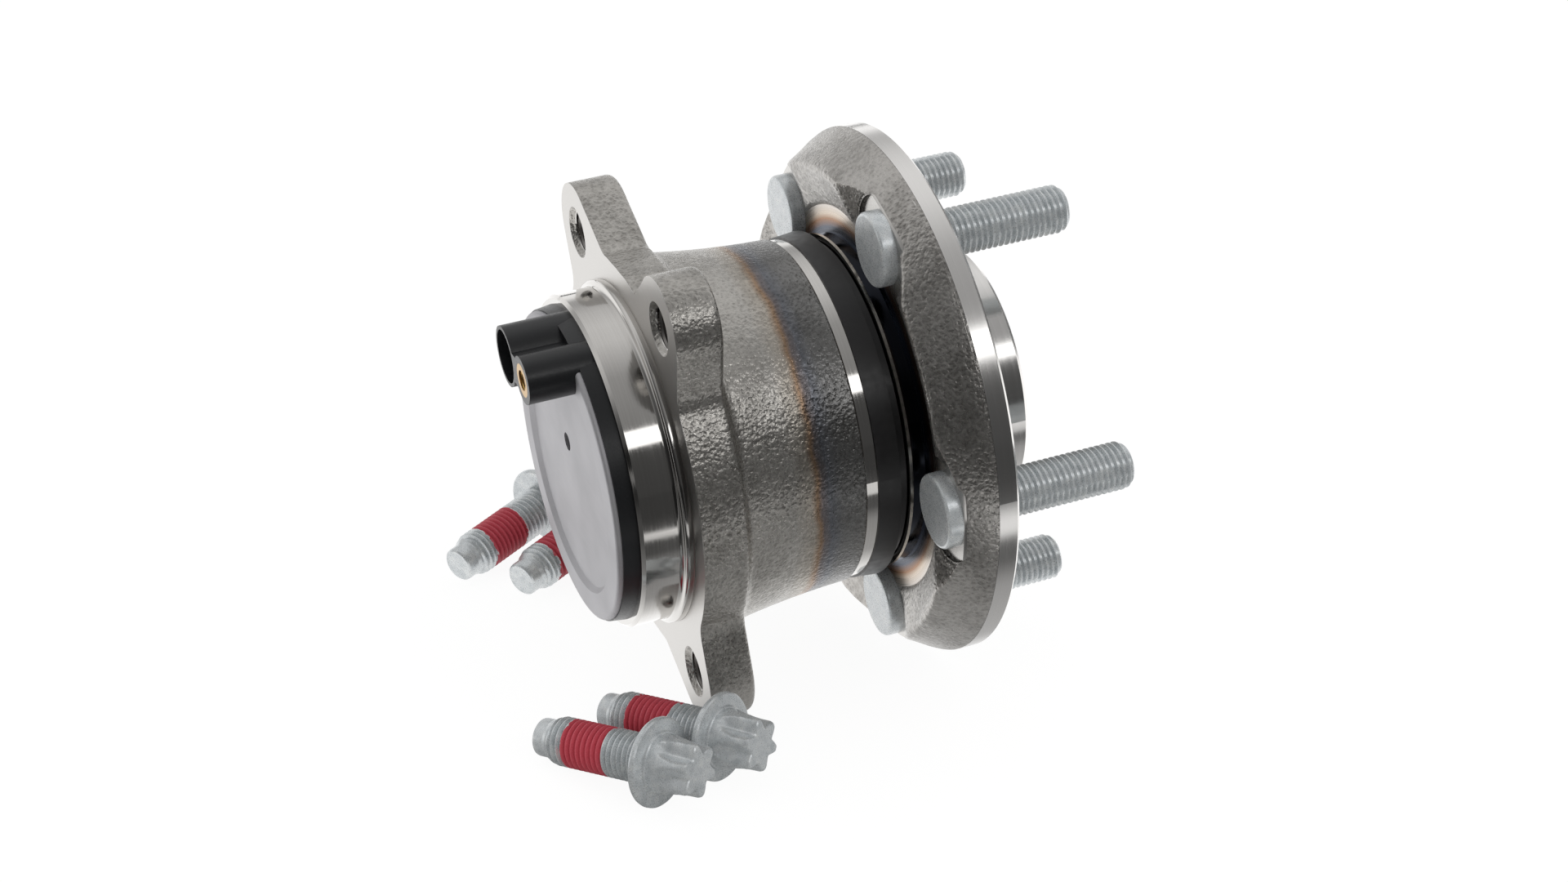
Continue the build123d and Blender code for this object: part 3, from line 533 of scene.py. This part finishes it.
# %% Pickled cover plate
along_rolling, streak_per_mm, cloud_per_mm, streak_depth = (0.05, 1.0, 1.1), 1.4, 0.06, 0.012
cover_sheet, tree, shader = new_finish("pickled cover sheet steel")
point = point_in_mm(tree)
streaked = add_node(tree, "ShaderNodeVectorMath", {0: point, 1: along_rolling}, operation="MULTIPLY").outputs[0]
streaks = add_node(tree, "ShaderNodeTexNoise", {
    "Vector": streaked, "Scale": streak_per_mm, "Detail": 5.0, "Roughness": 0.65}).outputs["Fac"]
cloud = add_node(tree, "ShaderNodeTexNoise", {
    "Vector": point, "Scale": cloud_per_mm, "Detail": 2.0}).outputs["Fac"]
mixed = add_node(tree, "ShaderNodeMath", {0: streaks, 1: 0.6, 2: cloud}, operation="MULTIPLY_ADD").outputs[0]
cover_tone = add_node(tree, "ShaderNodeValToRGB", {"Fac": mixed})
fill_ramp(cover_tone.color_ramp, [(0.55, colour("a9a8ab")), (1.0, colour("b9b8bb"))])
cover_rough = add_node(tree, "ShaderNodeMapRange", {
    "Value": streaks, **SPREAD, "To Min": 0.50, "To Max": 0.60}).outputs["Result"]
cover_bump = add_node(tree, "ShaderNodeBump", {
    "Height": streaks, "Distance": streak_depth * MM, "Strength": 1.0}).outputs["Normal"]
set_inputs(tree, shader, {"Metallic": 0.75, "Base Color": cover_tone.outputs["Color"],
                          "Roughness": cover_rough, "Normal": cover_bump})

# %% [markdown]
# ## Polymers and rubber
# The cap is moulded from glass-filled polyamide: nearly black, with a low gloss that the glass breaks up. Seal
# and O-ring are nitrile rubber, a little browner and duller. The encoder ring is rubber full of magnetic powder,
# so it is greyer, and its poles can't be seen. The cages are the same polyamide without the black. Flat colours
# would make the black parts one dark hole, so each has a grain that moves both its tone and its gloss a little.

# %% Black glass-filled polyamide: low gloss with a moulded grain
moulding_per_mm, moulding_depth = 2.2, 0.015
cap_plastic, tree, shader = new_finish("black glass-filled polyamide")
grain = add_node(tree, "ShaderNodeTexNoise", {
    "Vector": point_in_mm(tree), "Scale": moulding_per_mm, "Detail": 3.0}).outputs["Fac"]
plastic_tone = add_node(tree, "ShaderNodeMix", {0: grain, 6: colour("121315"), 7: colour("1b1c1f")},
                        data_type="RGBA").outputs[2]
plastic_rough = add_node(tree, "ShaderNodeMapRange", {
    "Value": grain, **SPREAD, "To Min": 0.30, "To Max": 0.42}).outputs["Result"]
plastic_bump = add_node(tree, "ShaderNodeBump", {
    "Height": grain, "Distance": moulding_depth * MM}).outputs["Normal"]
set_inputs(tree, shader, {"Base Color": plastic_tone, "Roughness": plastic_rough, "Normal": plastic_bump})

# %% Black nitrile rubber: a faint bloom in patches of about 2 mm
bloom_per_mm = 0.5
seal_black, tree, shader = new_finish("black nitrile rubber")
bloom = add_node(tree, "ShaderNodeTexNoise", {
    "Vector": point_in_mm(tree), "Scale": bloom_per_mm, "Detail": 4.0}).outputs["Fac"]
rubber_tone = add_node(tree, "ShaderNodeMix", {0: bloom, 6: colour("141314"), 7: colour("1e1d1e")},
                       data_type="RGBA").outputs[2]
rubber_rough = add_node(tree, "ShaderNodeMapRange", {
    "Value": bloom, **SPREAD, "To Min": 0.30, "To Max": 0.42}).outputs["Result"]
set_inputs(tree, shader, {"Base Color": rubber_tone, "Roughness": rubber_rough})

# %% [markdown]
# ## Plainly grained finishes
# Four finishes hardly show: the encoder's rubber, the cages, and the brass of insert and pins. Each is one
# roughness and a tone that a fine grain moves between two colours. They could be written out one by one, but a
# loop over their names, grains and colours says plainly that they are made alike.

# %% Magnetised rubber, natural polyamide, turned brass and tinned brass
# Each row: grains to the millimetre, detail, darker and paler tone, share of metal, roughness
plain_finishes = {
    "magnetised rubber": (1.5, 3.0, "262627", "333335", 0.0, 0.6),
    "natural glass-filled polyamide": (1.8, 4.0, "c2b48e", "d8ccab", 0.0, 0.42),
    "turned brass": (3.0, 2.0, "a98345", "c9a566", 1.0, 0.28),
    "tinned contact brass": (3.0, 2.0, "b9b4a6", "d2cdbf", 1.0, 0.22),
}
grained = {}
for name, (per_mm, detail, darker, paler, metal, rough) in plain_finishes.items():
    grained[name], tree, shader = new_finish(name)
    grain = add_node(tree, "ShaderNodeTexNoise", {
        "Vector": point_in_mm(tree), "Scale": per_mm, "Detail": detail}).outputs["Fac"]
    tone = add_node(tree, "ShaderNodeMix", {0: grain, 6: colour(darker), 7: colour(paler)},
                    data_type="RGBA").outputs[2]
    set_inputs(tree, shader, {"Base Color": tone, "Metallic": metal, "Roughness": rough})

# %% [markdown]
# ## Zinc flake and thread lock
# Studs and bolts carry a zinc flake coat, a grey paint full of flat zinc scales: pale, soft, and half metal to
# the eye. The bolts also have a band of dried red thread lock. The band could be a second material on its own
# faces, but a dried liquid has a ragged edge that doesn't follow faces. So each bolt's mesh carries a value,
# named patch, that is 1 inside the band, and a noise added to it frays the edge. A mesh without that value reads
# 0 and stays grey.

# %% Zinc flake coat
cloud_per_mm, flake_per_mm, flake_depth = 0.45, 3.2, 0.01  # real flakes are near 0.01 mm; these are clumps of them
zinc_flake, tree, shader = new_finish("zinc flake coated steel")
point = point_in_mm(tree)
cloud = add_node(tree, "ShaderNodeTexNoise", {
    "Vector": point, "Scale": cloud_per_mm, "Detail": 5.0, "Roughness": 0.65}).outputs["Fac"]
flake_tone = add_node(tree, "ShaderNodeValToRGB", {"Fac": cloud})
fill_ramp(flake_tone.color_ramp, [(0.34, colour("bcc1c3")), (0.50, colour("cbcfd1")), (0.66, colour("d8dbdb"))])
flakes = add_node(tree, "ShaderNodeTexNoise", {
    "Vector": point, "Scale": flake_per_mm, "Detail": 3.0}).outputs["Fac"]
flake_rough = add_node(tree, "ShaderNodeMapRange", {
    "Value": flakes, **SPREAD, "To Min": 0.24, "To Max": 0.36}).outputs["Result"]
print("flake clumps", round(1 / flake_per_mm, 2), "mm apart")

# %% Red thread lock over it, matt and not metal
fray_per_mm, fray_strength, lock_rough = 0.7, 0.9, 0.5
patch = add_node(tree, "ShaderNodeAttribute", attribute_name="patch").outputs["Fac"]
ragged = add_node(tree, "ShaderNodeTexNoise", {
    "Vector": point, "Scale": fray_per_mm, "Detail": 4.0}).outputs["Fac"]
ragged = add_node(tree, "ShaderNodeMath", {0: ragged, 1: fray_strength, 2: patch},
                  operation="MULTIPLY_ADD").outputs[0]
red_share = add_node(tree, "ShaderNodeMapRange", {
    "Value": ragged, "From Min": 0.93, "From Max": 0.99}).outputs["Result"]
red_tone = add_node(tree, "ShaderNodeMix", {0: flakes, 6: colour("a92f40"), 7: colour("cf5965")},
                    data_type="RGBA").outputs[2]
coat = add_node(tree, "ShaderNodeMix", {0: red_share, 6: flake_tone.outputs["Color"], 7: red_tone},
                data_type="RGBA").outputs[2]
coat_metal = add_node(tree, "ShaderNodeMapRange", {
    "Value": red_share, "To Min": 0.5, "To Max": 0.0}).outputs["Result"]
coat_rough = add_node(tree, "ShaderNodeMix", {0: red_share, 2: flake_rough, 3: lock_rough}).outputs[0]
coat_bump = add_node(tree, "ShaderNodeBump", {
    "Height": flakes, "Distance": flake_depth * MM}).outputs["Normal"]
set_inputs(tree, shader, {"Base Color": coat, "Metallic": coat_metal, "Roughness": coat_rough,
                          "Normal": coat_bump})
print("materials", len(bpy.data.materials))

# %% [markdown]
# ## Give each solid its finish
# Most solids already have the right shape and only need their material. A table of names keeps the choice in one
# place. Studs and bolts aren't in it, because they all have the zinc flake coat.

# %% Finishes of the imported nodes
finishes = {
    "outer_ring": ring_steel, "hub_flange": flange_steel, "inner_ring": polished_steel,
    "outboard_balls": polished_steel, "inboard_balls": polished_steel,
    "outboard_cage": grained["natural glass-filled polyamide"],
    "inboard_cage": grained["natural glass-filled polyamide"],
    "seal_case": sheet_steel, "flinger": sheet_steel, "encoder_carrier": sheet_steel,
    "seal_rubber": seal_black, "cap_oring": seal_black, "encoder_ring": grained["magnetised rubber"],
    "cap_ring": cap_plastic, "sensor_head": cap_plastic, "cap_plate": cover_sheet,
    "connector_pins": grained["tinned contact brass"], "screw_insert": grained["turned brass"],
}
for name, obj in nodes.items():
    obj.data.materials.clear()
    obj.data.materials.append(finishes.get(name, zinc_flake))
print("nodes finished", len(nodes))

# %% [markdown]
# ## Turned and threaded forms
# A turned part is one outline spun round an axis. A thread is one ridge wound into a helix, and the same spin
# tool does it when each of its steps also moves along the axis by its share of the pitch, so the ridge of one
# turn ends where the next begins. A screw modifier could do that too, but its ends would still be open and
# slanted. Here both ends are cut off flat with a plane, and the cuts are closed.

# %% Helpers: draw an outline, turn it, wind it
MERGE, CUT_SNAP = 1e-6, 1e-7  # metres within which points are merged or count as lying on a cut


def draw_outline(bm, points, closed=False):
    """Draws points in millimetres and the edges between them, and returns both together."""
    corners = [bm.verts.new((x * MM, y * MM, z * MM)) for x, y, z in points]
    followers = corners[1:] + corners[:1] if closed else corners[1:]
    return corners + [bm.edges.new(pair) for pair in zip(corners, followers)]


def turn_round(bm, outline, axis, steps):
    """Spins an outline once round an axis through the origin and merges its seam and poles."""
    bmesh.ops.spin(bm, geom=outline, cent=(0, 0, 0), axis=axis, angle=math.tau, steps=steps, use_merge=True)
    bmesh.ops.remove_doubles(bm, verts=bm.verts, dist=MERGE)


def wind_up(bm, outline, pitch, turns, steps):
    """Spins an outline about +Z and lifts it by one pitch in millimetres with each turn of so many steps."""
    bmesh.ops.spin(bm, geom=outline, cent=(0, 0, 0), axis=(0, 0, 1), dvec=(0, 0, pitch * MM / steps),
                   angle=math.tau * turns, steps=steps * turns, use_merge=False)


def close_ends(bm):
    """Closes the open loops of a mesh with flat faces."""
    rims = [edge for edge in bm.edges if edge.is_boundary]
    bmesh.ops.holes_fill(bm, edges=rims, sides=0)


print("points nearer than", MERGE / MM, "mm are merged")

# %% Helpers: an outer thread, and how its ends run out
def wind_thread(bm, start, end, steps=40):
    """Winds an M12x1.5 thread about +Z from start to end in millimetres, with flat closed ends.

    Its crest is at the solid's radius, so it is cut into the solid's outline and not added to it.
    """
    ridge = [(THREAD_ROOT, 0.0), (THREAD_ROOT, 0.12), (THREAD_CREST, 0.42), (THREAD_CREST, 0.58),
             (THREAD_ROOT, 0.88), (THREAD_ROOT, 1.0)]
    below = start - 1.5 * THREAD_PITCH
    turns = math.ceil((end - below) / THREAD_PITCH) + 1
    outline = draw_outline(bm, [(radius, 0, below + share * THREAD_PITCH) for radius, share in ridge])
    wind_up(bm, outline, THREAD_PITCH, turns, steps)
    bmesh.ops.remove_doubles(bm, verts=bm.verts, dist=MERGE)
    for level, facing in ((start, -1), (end, 1)):
        everything = bm.verts[:] + bm.edges[:] + bm.faces[:]
        bmesh.ops.bisect_plane(bm, geom=everything, dist=CUT_SNAP, plane_co=(0, 0, level * MM),
                               plane_no=(0, 0, facing), clear_outer=True)
    close_ends(bm)


def draw_in(bm, start, end, radius_at):
    """Draws points in towards +Z's axis, past start, to radius_at(share), where share is 0 at start, 1 at end."""
    for vert in bm.verts:
        share = min(1.0, (vert.co.z / MM - start) / (end - start))
        reach = math.hypot(vert.co.x, vert.co.y)
        if share > 0 and reach > radius_at(share) * MM:
            vert.co.x *= radius_at(share) * MM / reach
            vert.co.y *= radius_at(share) * MM / reach


print("thread", 2 * THREAD_CREST, "mm wide, pitch", THREAD_PITCH, "mm")

# %% Helper: make an object of a mesh
def finish_piece(bm, name, matrix, body, finish, stands_for=None, crease=18):
    """Makes an object of the mesh, with its place in the mesh, hangs it on the body that it rides on, and hides
    the solid that it stands for.

    Edges that turn by more than crease degrees stay sharp.
    """
    bmesh.ops.recalc_face_normals(bm, faces=bm.faces)
    bm.transform(matrix)
    mesh = bpy.data.meshes.new(name)
    bm.to_mesh(mesh)
    bm.free()
    mesh.shade_smooth()
    mesh.set_sharp_from_angle(angle=math.radians(crease))
    piece = bpy.data.objects.new(name, mesh)
    bpy.context.scene.collection.objects.link(piece)
    mesh.materials.append(finish)
    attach(piece, body)
    if stands_for:
        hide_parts(stands_for)
    print(name, "faces", len(mesh.polygons))
    return piece


quarter_turn = math.radians(90)
print("a piece is drawn along +Z and then laid in its place")

# %% [markdown]
# ## Wheel studs
# Five studs are pressed through the flange from the back, and the wheel's nuts go on their threads. Each solid
# is a plain pin. Its thread could be a bump in the material, but a thread that stands out against the sky needs
# real ridges. So the stud is made again: a wound thread, and a turned head and shank below it. The low head has
# a rounded edge, as a forging die leaves it, and the thread's tip is rounded so that a nut finds it.

# %% Wheel studs
seat_depth, head_height, stud_reach = 12.6, 3.7, 34.0
tip_length, tip_radius = 2.2, 4.6
head_end = -seat_depth - head_height
stud_outline = [(0, head_end), (7.7, head_end), (8.3, head_end), (8.8, head_end + 0.18),
                (9.1, head_end + 0.55), (9.2, head_end + 1.1), (9.2, -seat_depth), (6.4, -seat_depth),
                (6.4, -0.5), (THREAD_ROOT, 0.0), (0, 0.0)]
for k in range(STUD_COUNT):
    bm = bmesh.new()
    wind_thread(bm, 0.0, stud_reach)
    draw_in(bm, stud_reach - tip_length, stud_reach,
            lambda share: THREAD_CREST + (tip_radius - THREAD_CREST) * share ** 2)
    turn_round(bm, draw_outline(bm, [(radius, 0, along) for radius, along in stud_outline]), (0, 0, 1), 72)
    lean = (Matrix.Rotation(math.radians(STUD_CLOCK + STUD_STEP * k), 4, "Y")
            @ Matrix.Translation((0, 0, STUD_CIRCLE * MM)) @ Matrix.Rotation(-quarter_turn, 4, "X"))
    finish_piece(bm, f"stud_{k + 1}", lean, "hub_body", zinc_flake, f"wheel_stud_{k + 1}")

# %% [markdown]
# ## The forged lobes between the studs
# The die leaves the back of the flange high between the studs and draws it down in a soft hollow round each stud
# head. Sculpting could do that, but a die is exact. So a ring with the lobe's section is spun, and then each of
# its points is let down near a stud by a rule. A soft minimum of the two heights rounds the change, as metal
# flows in a die. The ring lies on the solid's plainer lobes and its turned seats.

# %% Lobes: the ring and its section
def soft_lower(first, second, reach):
    """The lower of two heights, rounded over where they are nearer than reach."""
    overlap = max(reach - abs(first - second), 0.0) / reach
    return min(first, second) - overlap * overlap * reach / 4


bm = bmesh.new()
# (radius, depth behind the wheel face); the last three edges lie inside the flange and aren't divided
lobe_section = [(49.45, 12.3), (49.5, 13.05), (50.0, 13.6), (58.3, 16.68), (59.4, 16.98), (60.3, 16.85),
                (61.2, 16.0), (61.9, 15.0), (63.2, 12.6), (64.6, 10.2), (65.9, 8.1), (66.75, 6.4),
                (67.14, 5.34), (66.0, 5.3), (58.0, 9.0)]
hidden_edges, point_spacing = 3, 0.55
outline = draw_outline(bm, [(radius, -depth, 0) for radius, depth in lobe_section], closed=True)
for line in outline[len(lobe_section):-hidden_edges]:
    cuts = max(1, int(line.calc_length() / (point_spacing * MM)))
    bmesh.ops.subdivide_edges(bm, edges=[line], cuts=cuts)
turn_round(bm, bm.verts[:] + bm.edges[:], (0, 1, 0), 540)
print("lobe points", len(bm.verts))

# %% Lobes: let each point down near a stud
pocket_radius, pocket_floor, wall_height, wall_width = 12.6, 12.3, 1.2, 0.45
slope_width, straight_rise, curved_rise, blend_reach = 11.0, 2.0, 2.2, 0.8
waves_per_metre, wave_height, wave_within = 140.0, 0.12, 66.5
for vert in bm.verts:
    turn = math.degrees(math.atan2(vert.co.x, vert.co.z))
    from_stud = math.radians((turn - STUD_CLOCK + STUD_STEP / 2) % STUD_STEP - STUD_STEP / 2)
    radius = math.hypot(vert.co.x, vert.co.z) / MM
    outward, sideways = radius * math.cos(from_stud) - STUD_CIRCLE, radius * math.sin(from_stud)
    away = math.hypot(sideways, outward) - pocket_radius
    share = min(1.0, max(0.0, away / slope_width))
    wall = wall_height * min(1.0, max(0.0, away / wall_width))
    hollow = pocket_floor + wall + straight_rise * share + curved_rise * share ** 2 * (3 - 2 * share)
    wave = noise.noise(vert.co * waves_per_metre) * wave_height if radius < wave_within else 0.0
    vert.co.y = -soft_lower(-vert.co.y / MM, hollow, blend_reach) * MM - wave * MM
finish_piece(bm, "flange_forging", Matrix.Identity(4), "hub_body", lobe_skin, crease=50)

# %% [markdown]
# ## The shoulder at the pilot's foot
# Where the pilot meets the ear faces, the lathe has left a low shoulder with a rounded edge, which catches the
# light as one thin line. A bevel on the solid would change the whole ring for it. It is 1.5 mm high, so it is a
# trim ring of one small section, turned once round the spindle.

# %% Shoulder
bm = bmesh.new()
shoulder_section = [(41.3, 72.0), (42.9, 72.0), (43.0, 72.1), (43.0, 73.8), (42.85, 74.1), (42.55, 74.3),
                    (42.2, 74.42), (41.85, 74.65), (41.6, 75.0), (41.52, 75.5), (41.3, 75.5)]
outline = draw_outline(bm, [(radius, -depth, 0) for radius, depth in shoulder_section], closed=True)
turn_round(bm, outline, (0, 1, 0), 288)
finish_piece(bm, "pilot_shoulder", Matrix.Identity(4), "outer_ring_body", ring_steel, crease=50)

# %% [markdown]
# ## Mounting bolts
# An M12 flange bolt with an outer six-lobe head. Its end is a plain dog point that finds the hole before the
# thread bites, and the red band in the thread is dried thread lock. The head could be cut from a cylinder with
# six booleans. It is a stack of rings instead, each extruded from the last, with a radius that swings six times
# round, because that leaves clean faces that take a smooth shade.

# %% Helpers: head of the bolt, band of thread lock
FLUTE_COUNT, CUTTER_DEPTH = 6, 2.4


def stack_rings(bm, rings, segments=144):
    """Extrudes a disc about +Z through (along, radius, notch) rings in millimetres.

    notch is how deep the flutes are cut there. The cutter has one shape, so a shallow cut is also narrow, and
    the flutes run out in points towards the collar.
    """
    disc = bmesh.ops.create_circle(bm, cap_ends=True, segments=segments, radius=1.0)
    face = disc["verts"][0].link_faces[0]
    for number, (along, radius, notch) in enumerate(rings):
        if number:
            grown = bmesh.ops.extrude_face_region(bm, geom=[face])
            if number > 1:  # the operator keeps the face that it started from, which is a wall inside the head
                bmesh.ops.delete(bm, geom=[face], context="FACES_ONLY")
            face = next(item for item in grown["geom"] if isinstance(item, bmesh.types.BMFace))
        for vert in face.verts:
            turn = math.atan2(vert.co.y, vert.co.x)
            flute = (0.5 - 0.5 * math.cos(FLUTE_COUNT * turn)) ** 0.8
            reach = (radius - max(0.0, notch - CUTTER_DEPTH * (1 - flute))) * MM
            vert.co = (reach * math.cos(turn), reach * math.sin(turn), along * MM)


def mark_patch(mesh, matrix, start, end, fade=1.4):
    """Writes the patch value: 1 from start to end along the bolt's own axis, fading out in millimetres."""
    values = mesh.attributes.new("patch", "FLOAT", "POINT")
    back = matrix.inverted()
    for vert, value in zip(mesh.vertices, values.data):
        along = (back @ vert.co).z / MM
        value.value = min(1.0, max(0.0, (along - start) / fade + 0.5), max(0.0, (end - along) / fade + 0.5))


print("flutes", FLUTE_COUNT, "cut with a nose of", CUTTER_DEPTH, "mm")

# %% Bolt: its outlines and how it lies
# The bolt is drawn from its point at 0 to its head. It lies on the floor on two lines: the thread's first full
# crest and the edge of the collar.
bolt_length, dog_end, collar_radius = 33.0, 4.8, 10.7
thread_from, full_thread, foot_radius = 4.2, 6.4, 4.95
dog_outline = [(0, 0), (4.1, 0), (4.5, 0.35), (4.6, 0.8), (4.6, 3.2), (4.7, 3.5), (5.0, 4.2), (5.0, 5.5), (0, 5.5)]
collar_rings = [(33.0, 10.2, 0), (33.25, 10.55, 0), (33.7, 10.7, 0), (34.3, 10.65, 0), (34.7, 10.35, 0),
                (34.85, 9.9, 0), (35.0, 8.0, 0), (35.05, 7.7, 0), (35.5, 7.6, 0), (35.65, 7.4, 0), (35.7, 7.1, 0)]
lobe_rings = [(36.9, 7.05, 0.1), (37.6, 6.95, 0.65), (38.4, 6.9, 1.2), (39.4, 6.85, 1.65), (40.8, 6.8, 2.0),
              (42.4, 6.75, 2.2), (45.0, 6.7, 2.2), (45.7, 6.45, 2.2), (46.0, 6.0, 2.1)]
bolt_pitch = math.atan2(collar_radius - THREAD_CREST, bolt_length - dog_end)
bolt_lift = THREAD_CREST * math.cos(bolt_pitch) - dog_end * math.sin(bolt_pitch)
print("bolt leans by", round(math.degrees(bolt_pitch), 2), "degrees, its point is", round(bolt_lift, 2), "mm up")

# %% Four bolts on the floor
# Where each point lies on the floor, in millimetres from the foot of the ears, and the way that it heads
bolt_places = ((38.4, -41.6, 35.1), (31.5, -23.5, 34.3), (-38.5, -24.7, 121.3), (-50.8, -38.4, 121.3))
lock_from, lock_to = 9.5, 21.5
for number, (across, along, heading) in enumerate(bolt_places, 1):
    bm = bmesh.new()
    wind_thread(bm, thread_from, bolt_length)
    draw_in(bm, full_thread, thread_from,
            lambda share: foot_radius + (THREAD_CREST - foot_radius) * (1 - share) ** 0.7)
    turn_round(bm, draw_outline(bm, [(radius, 0, level) for radius, level in dog_outline]), (0, 0, 1), 72)
    stack_rings(bm, collar_rings + lobe_rings)
    lean = (floor_plane @ Matrix.Translation(Vector((across, along, bolt_lift)) * MM)
            @ Matrix.Rotation(math.radians(heading), 4, "Z") @ Matrix.Rotation(-bolt_pitch, 4, "Y")
            @ Matrix.Rotation(quarter_turn, 4, "Y"))
    piece = finish_piece(bm, f"bolt_{number}", lean, "outer_ring_body", zinc_flake,
                         f"mounting_bolt_{number}")
    mark_patch(piece.data, lean, lock_from, lock_to)

# %% [markdown]
# ## Threads in the holes
# A tapped hole shows bright ridges on a dark wall, and the ring's material darkens the inside of the hole with
# painted shade. The solid's holes have the tapping drill's size, so nothing needs to be cut: each thread is a
# thin bar with a thread's section, wound down the wall of the hole. It is closed at both ends, so it is a sound
# solid in its own right.

# %% Tapped ears and brass insert
def wind_ridge(bm, start, end, wall, crest, pitch, steps=32):
    """Winds a closed ridge about +Z, from the wall of a hole in to its crest, from start to end in millimetres."""
    turns = int((end - start) / pitch)
    section = [(wall, 0.0), (crest, 0.34), (crest, 0.52), (wall, 0.86)]
    outline = draw_outline(bm, [(radius, 0, start + share * pitch) for radius, share in section], closed=True)
    wind_up(bm, outline, pitch, turns, steps)
    close_ends(bm)


for number, (side, up) in enumerate(((1, 1), (1, -1), (-1, 1), (-1, -1)), 1):
    bm = bmesh.new()
    wind_ridge(bm, 60.7, 71.0, wall=5.19, crest=4.75, pitch=THREAD_PITCH)
    hole_place = Matrix.Translation(Vector((side * EAR_HOLE[0], 0, up * EAR_HOLE[2])) * MM)
    finish_piece(bm, f"ear_thread_{number}", hole_place @ Matrix.Rotation(quarter_turn, 4, "X"),
                 "outer_ring_body", ring_steel)
bm = bmesh.new()
wind_ridge(bm, 92.2, 100.6, wall=2.49, crest=2.2, pitch=1.0)
insert_place = Matrix.Translation(Vector((12.9, 0, 32.0)) * MM)
finish_piece(bm, "insert_thread", insert_place @ Matrix.Rotation(quarter_turn, 4, "X"),
             "outer_ring_body", grained["turned brass"])
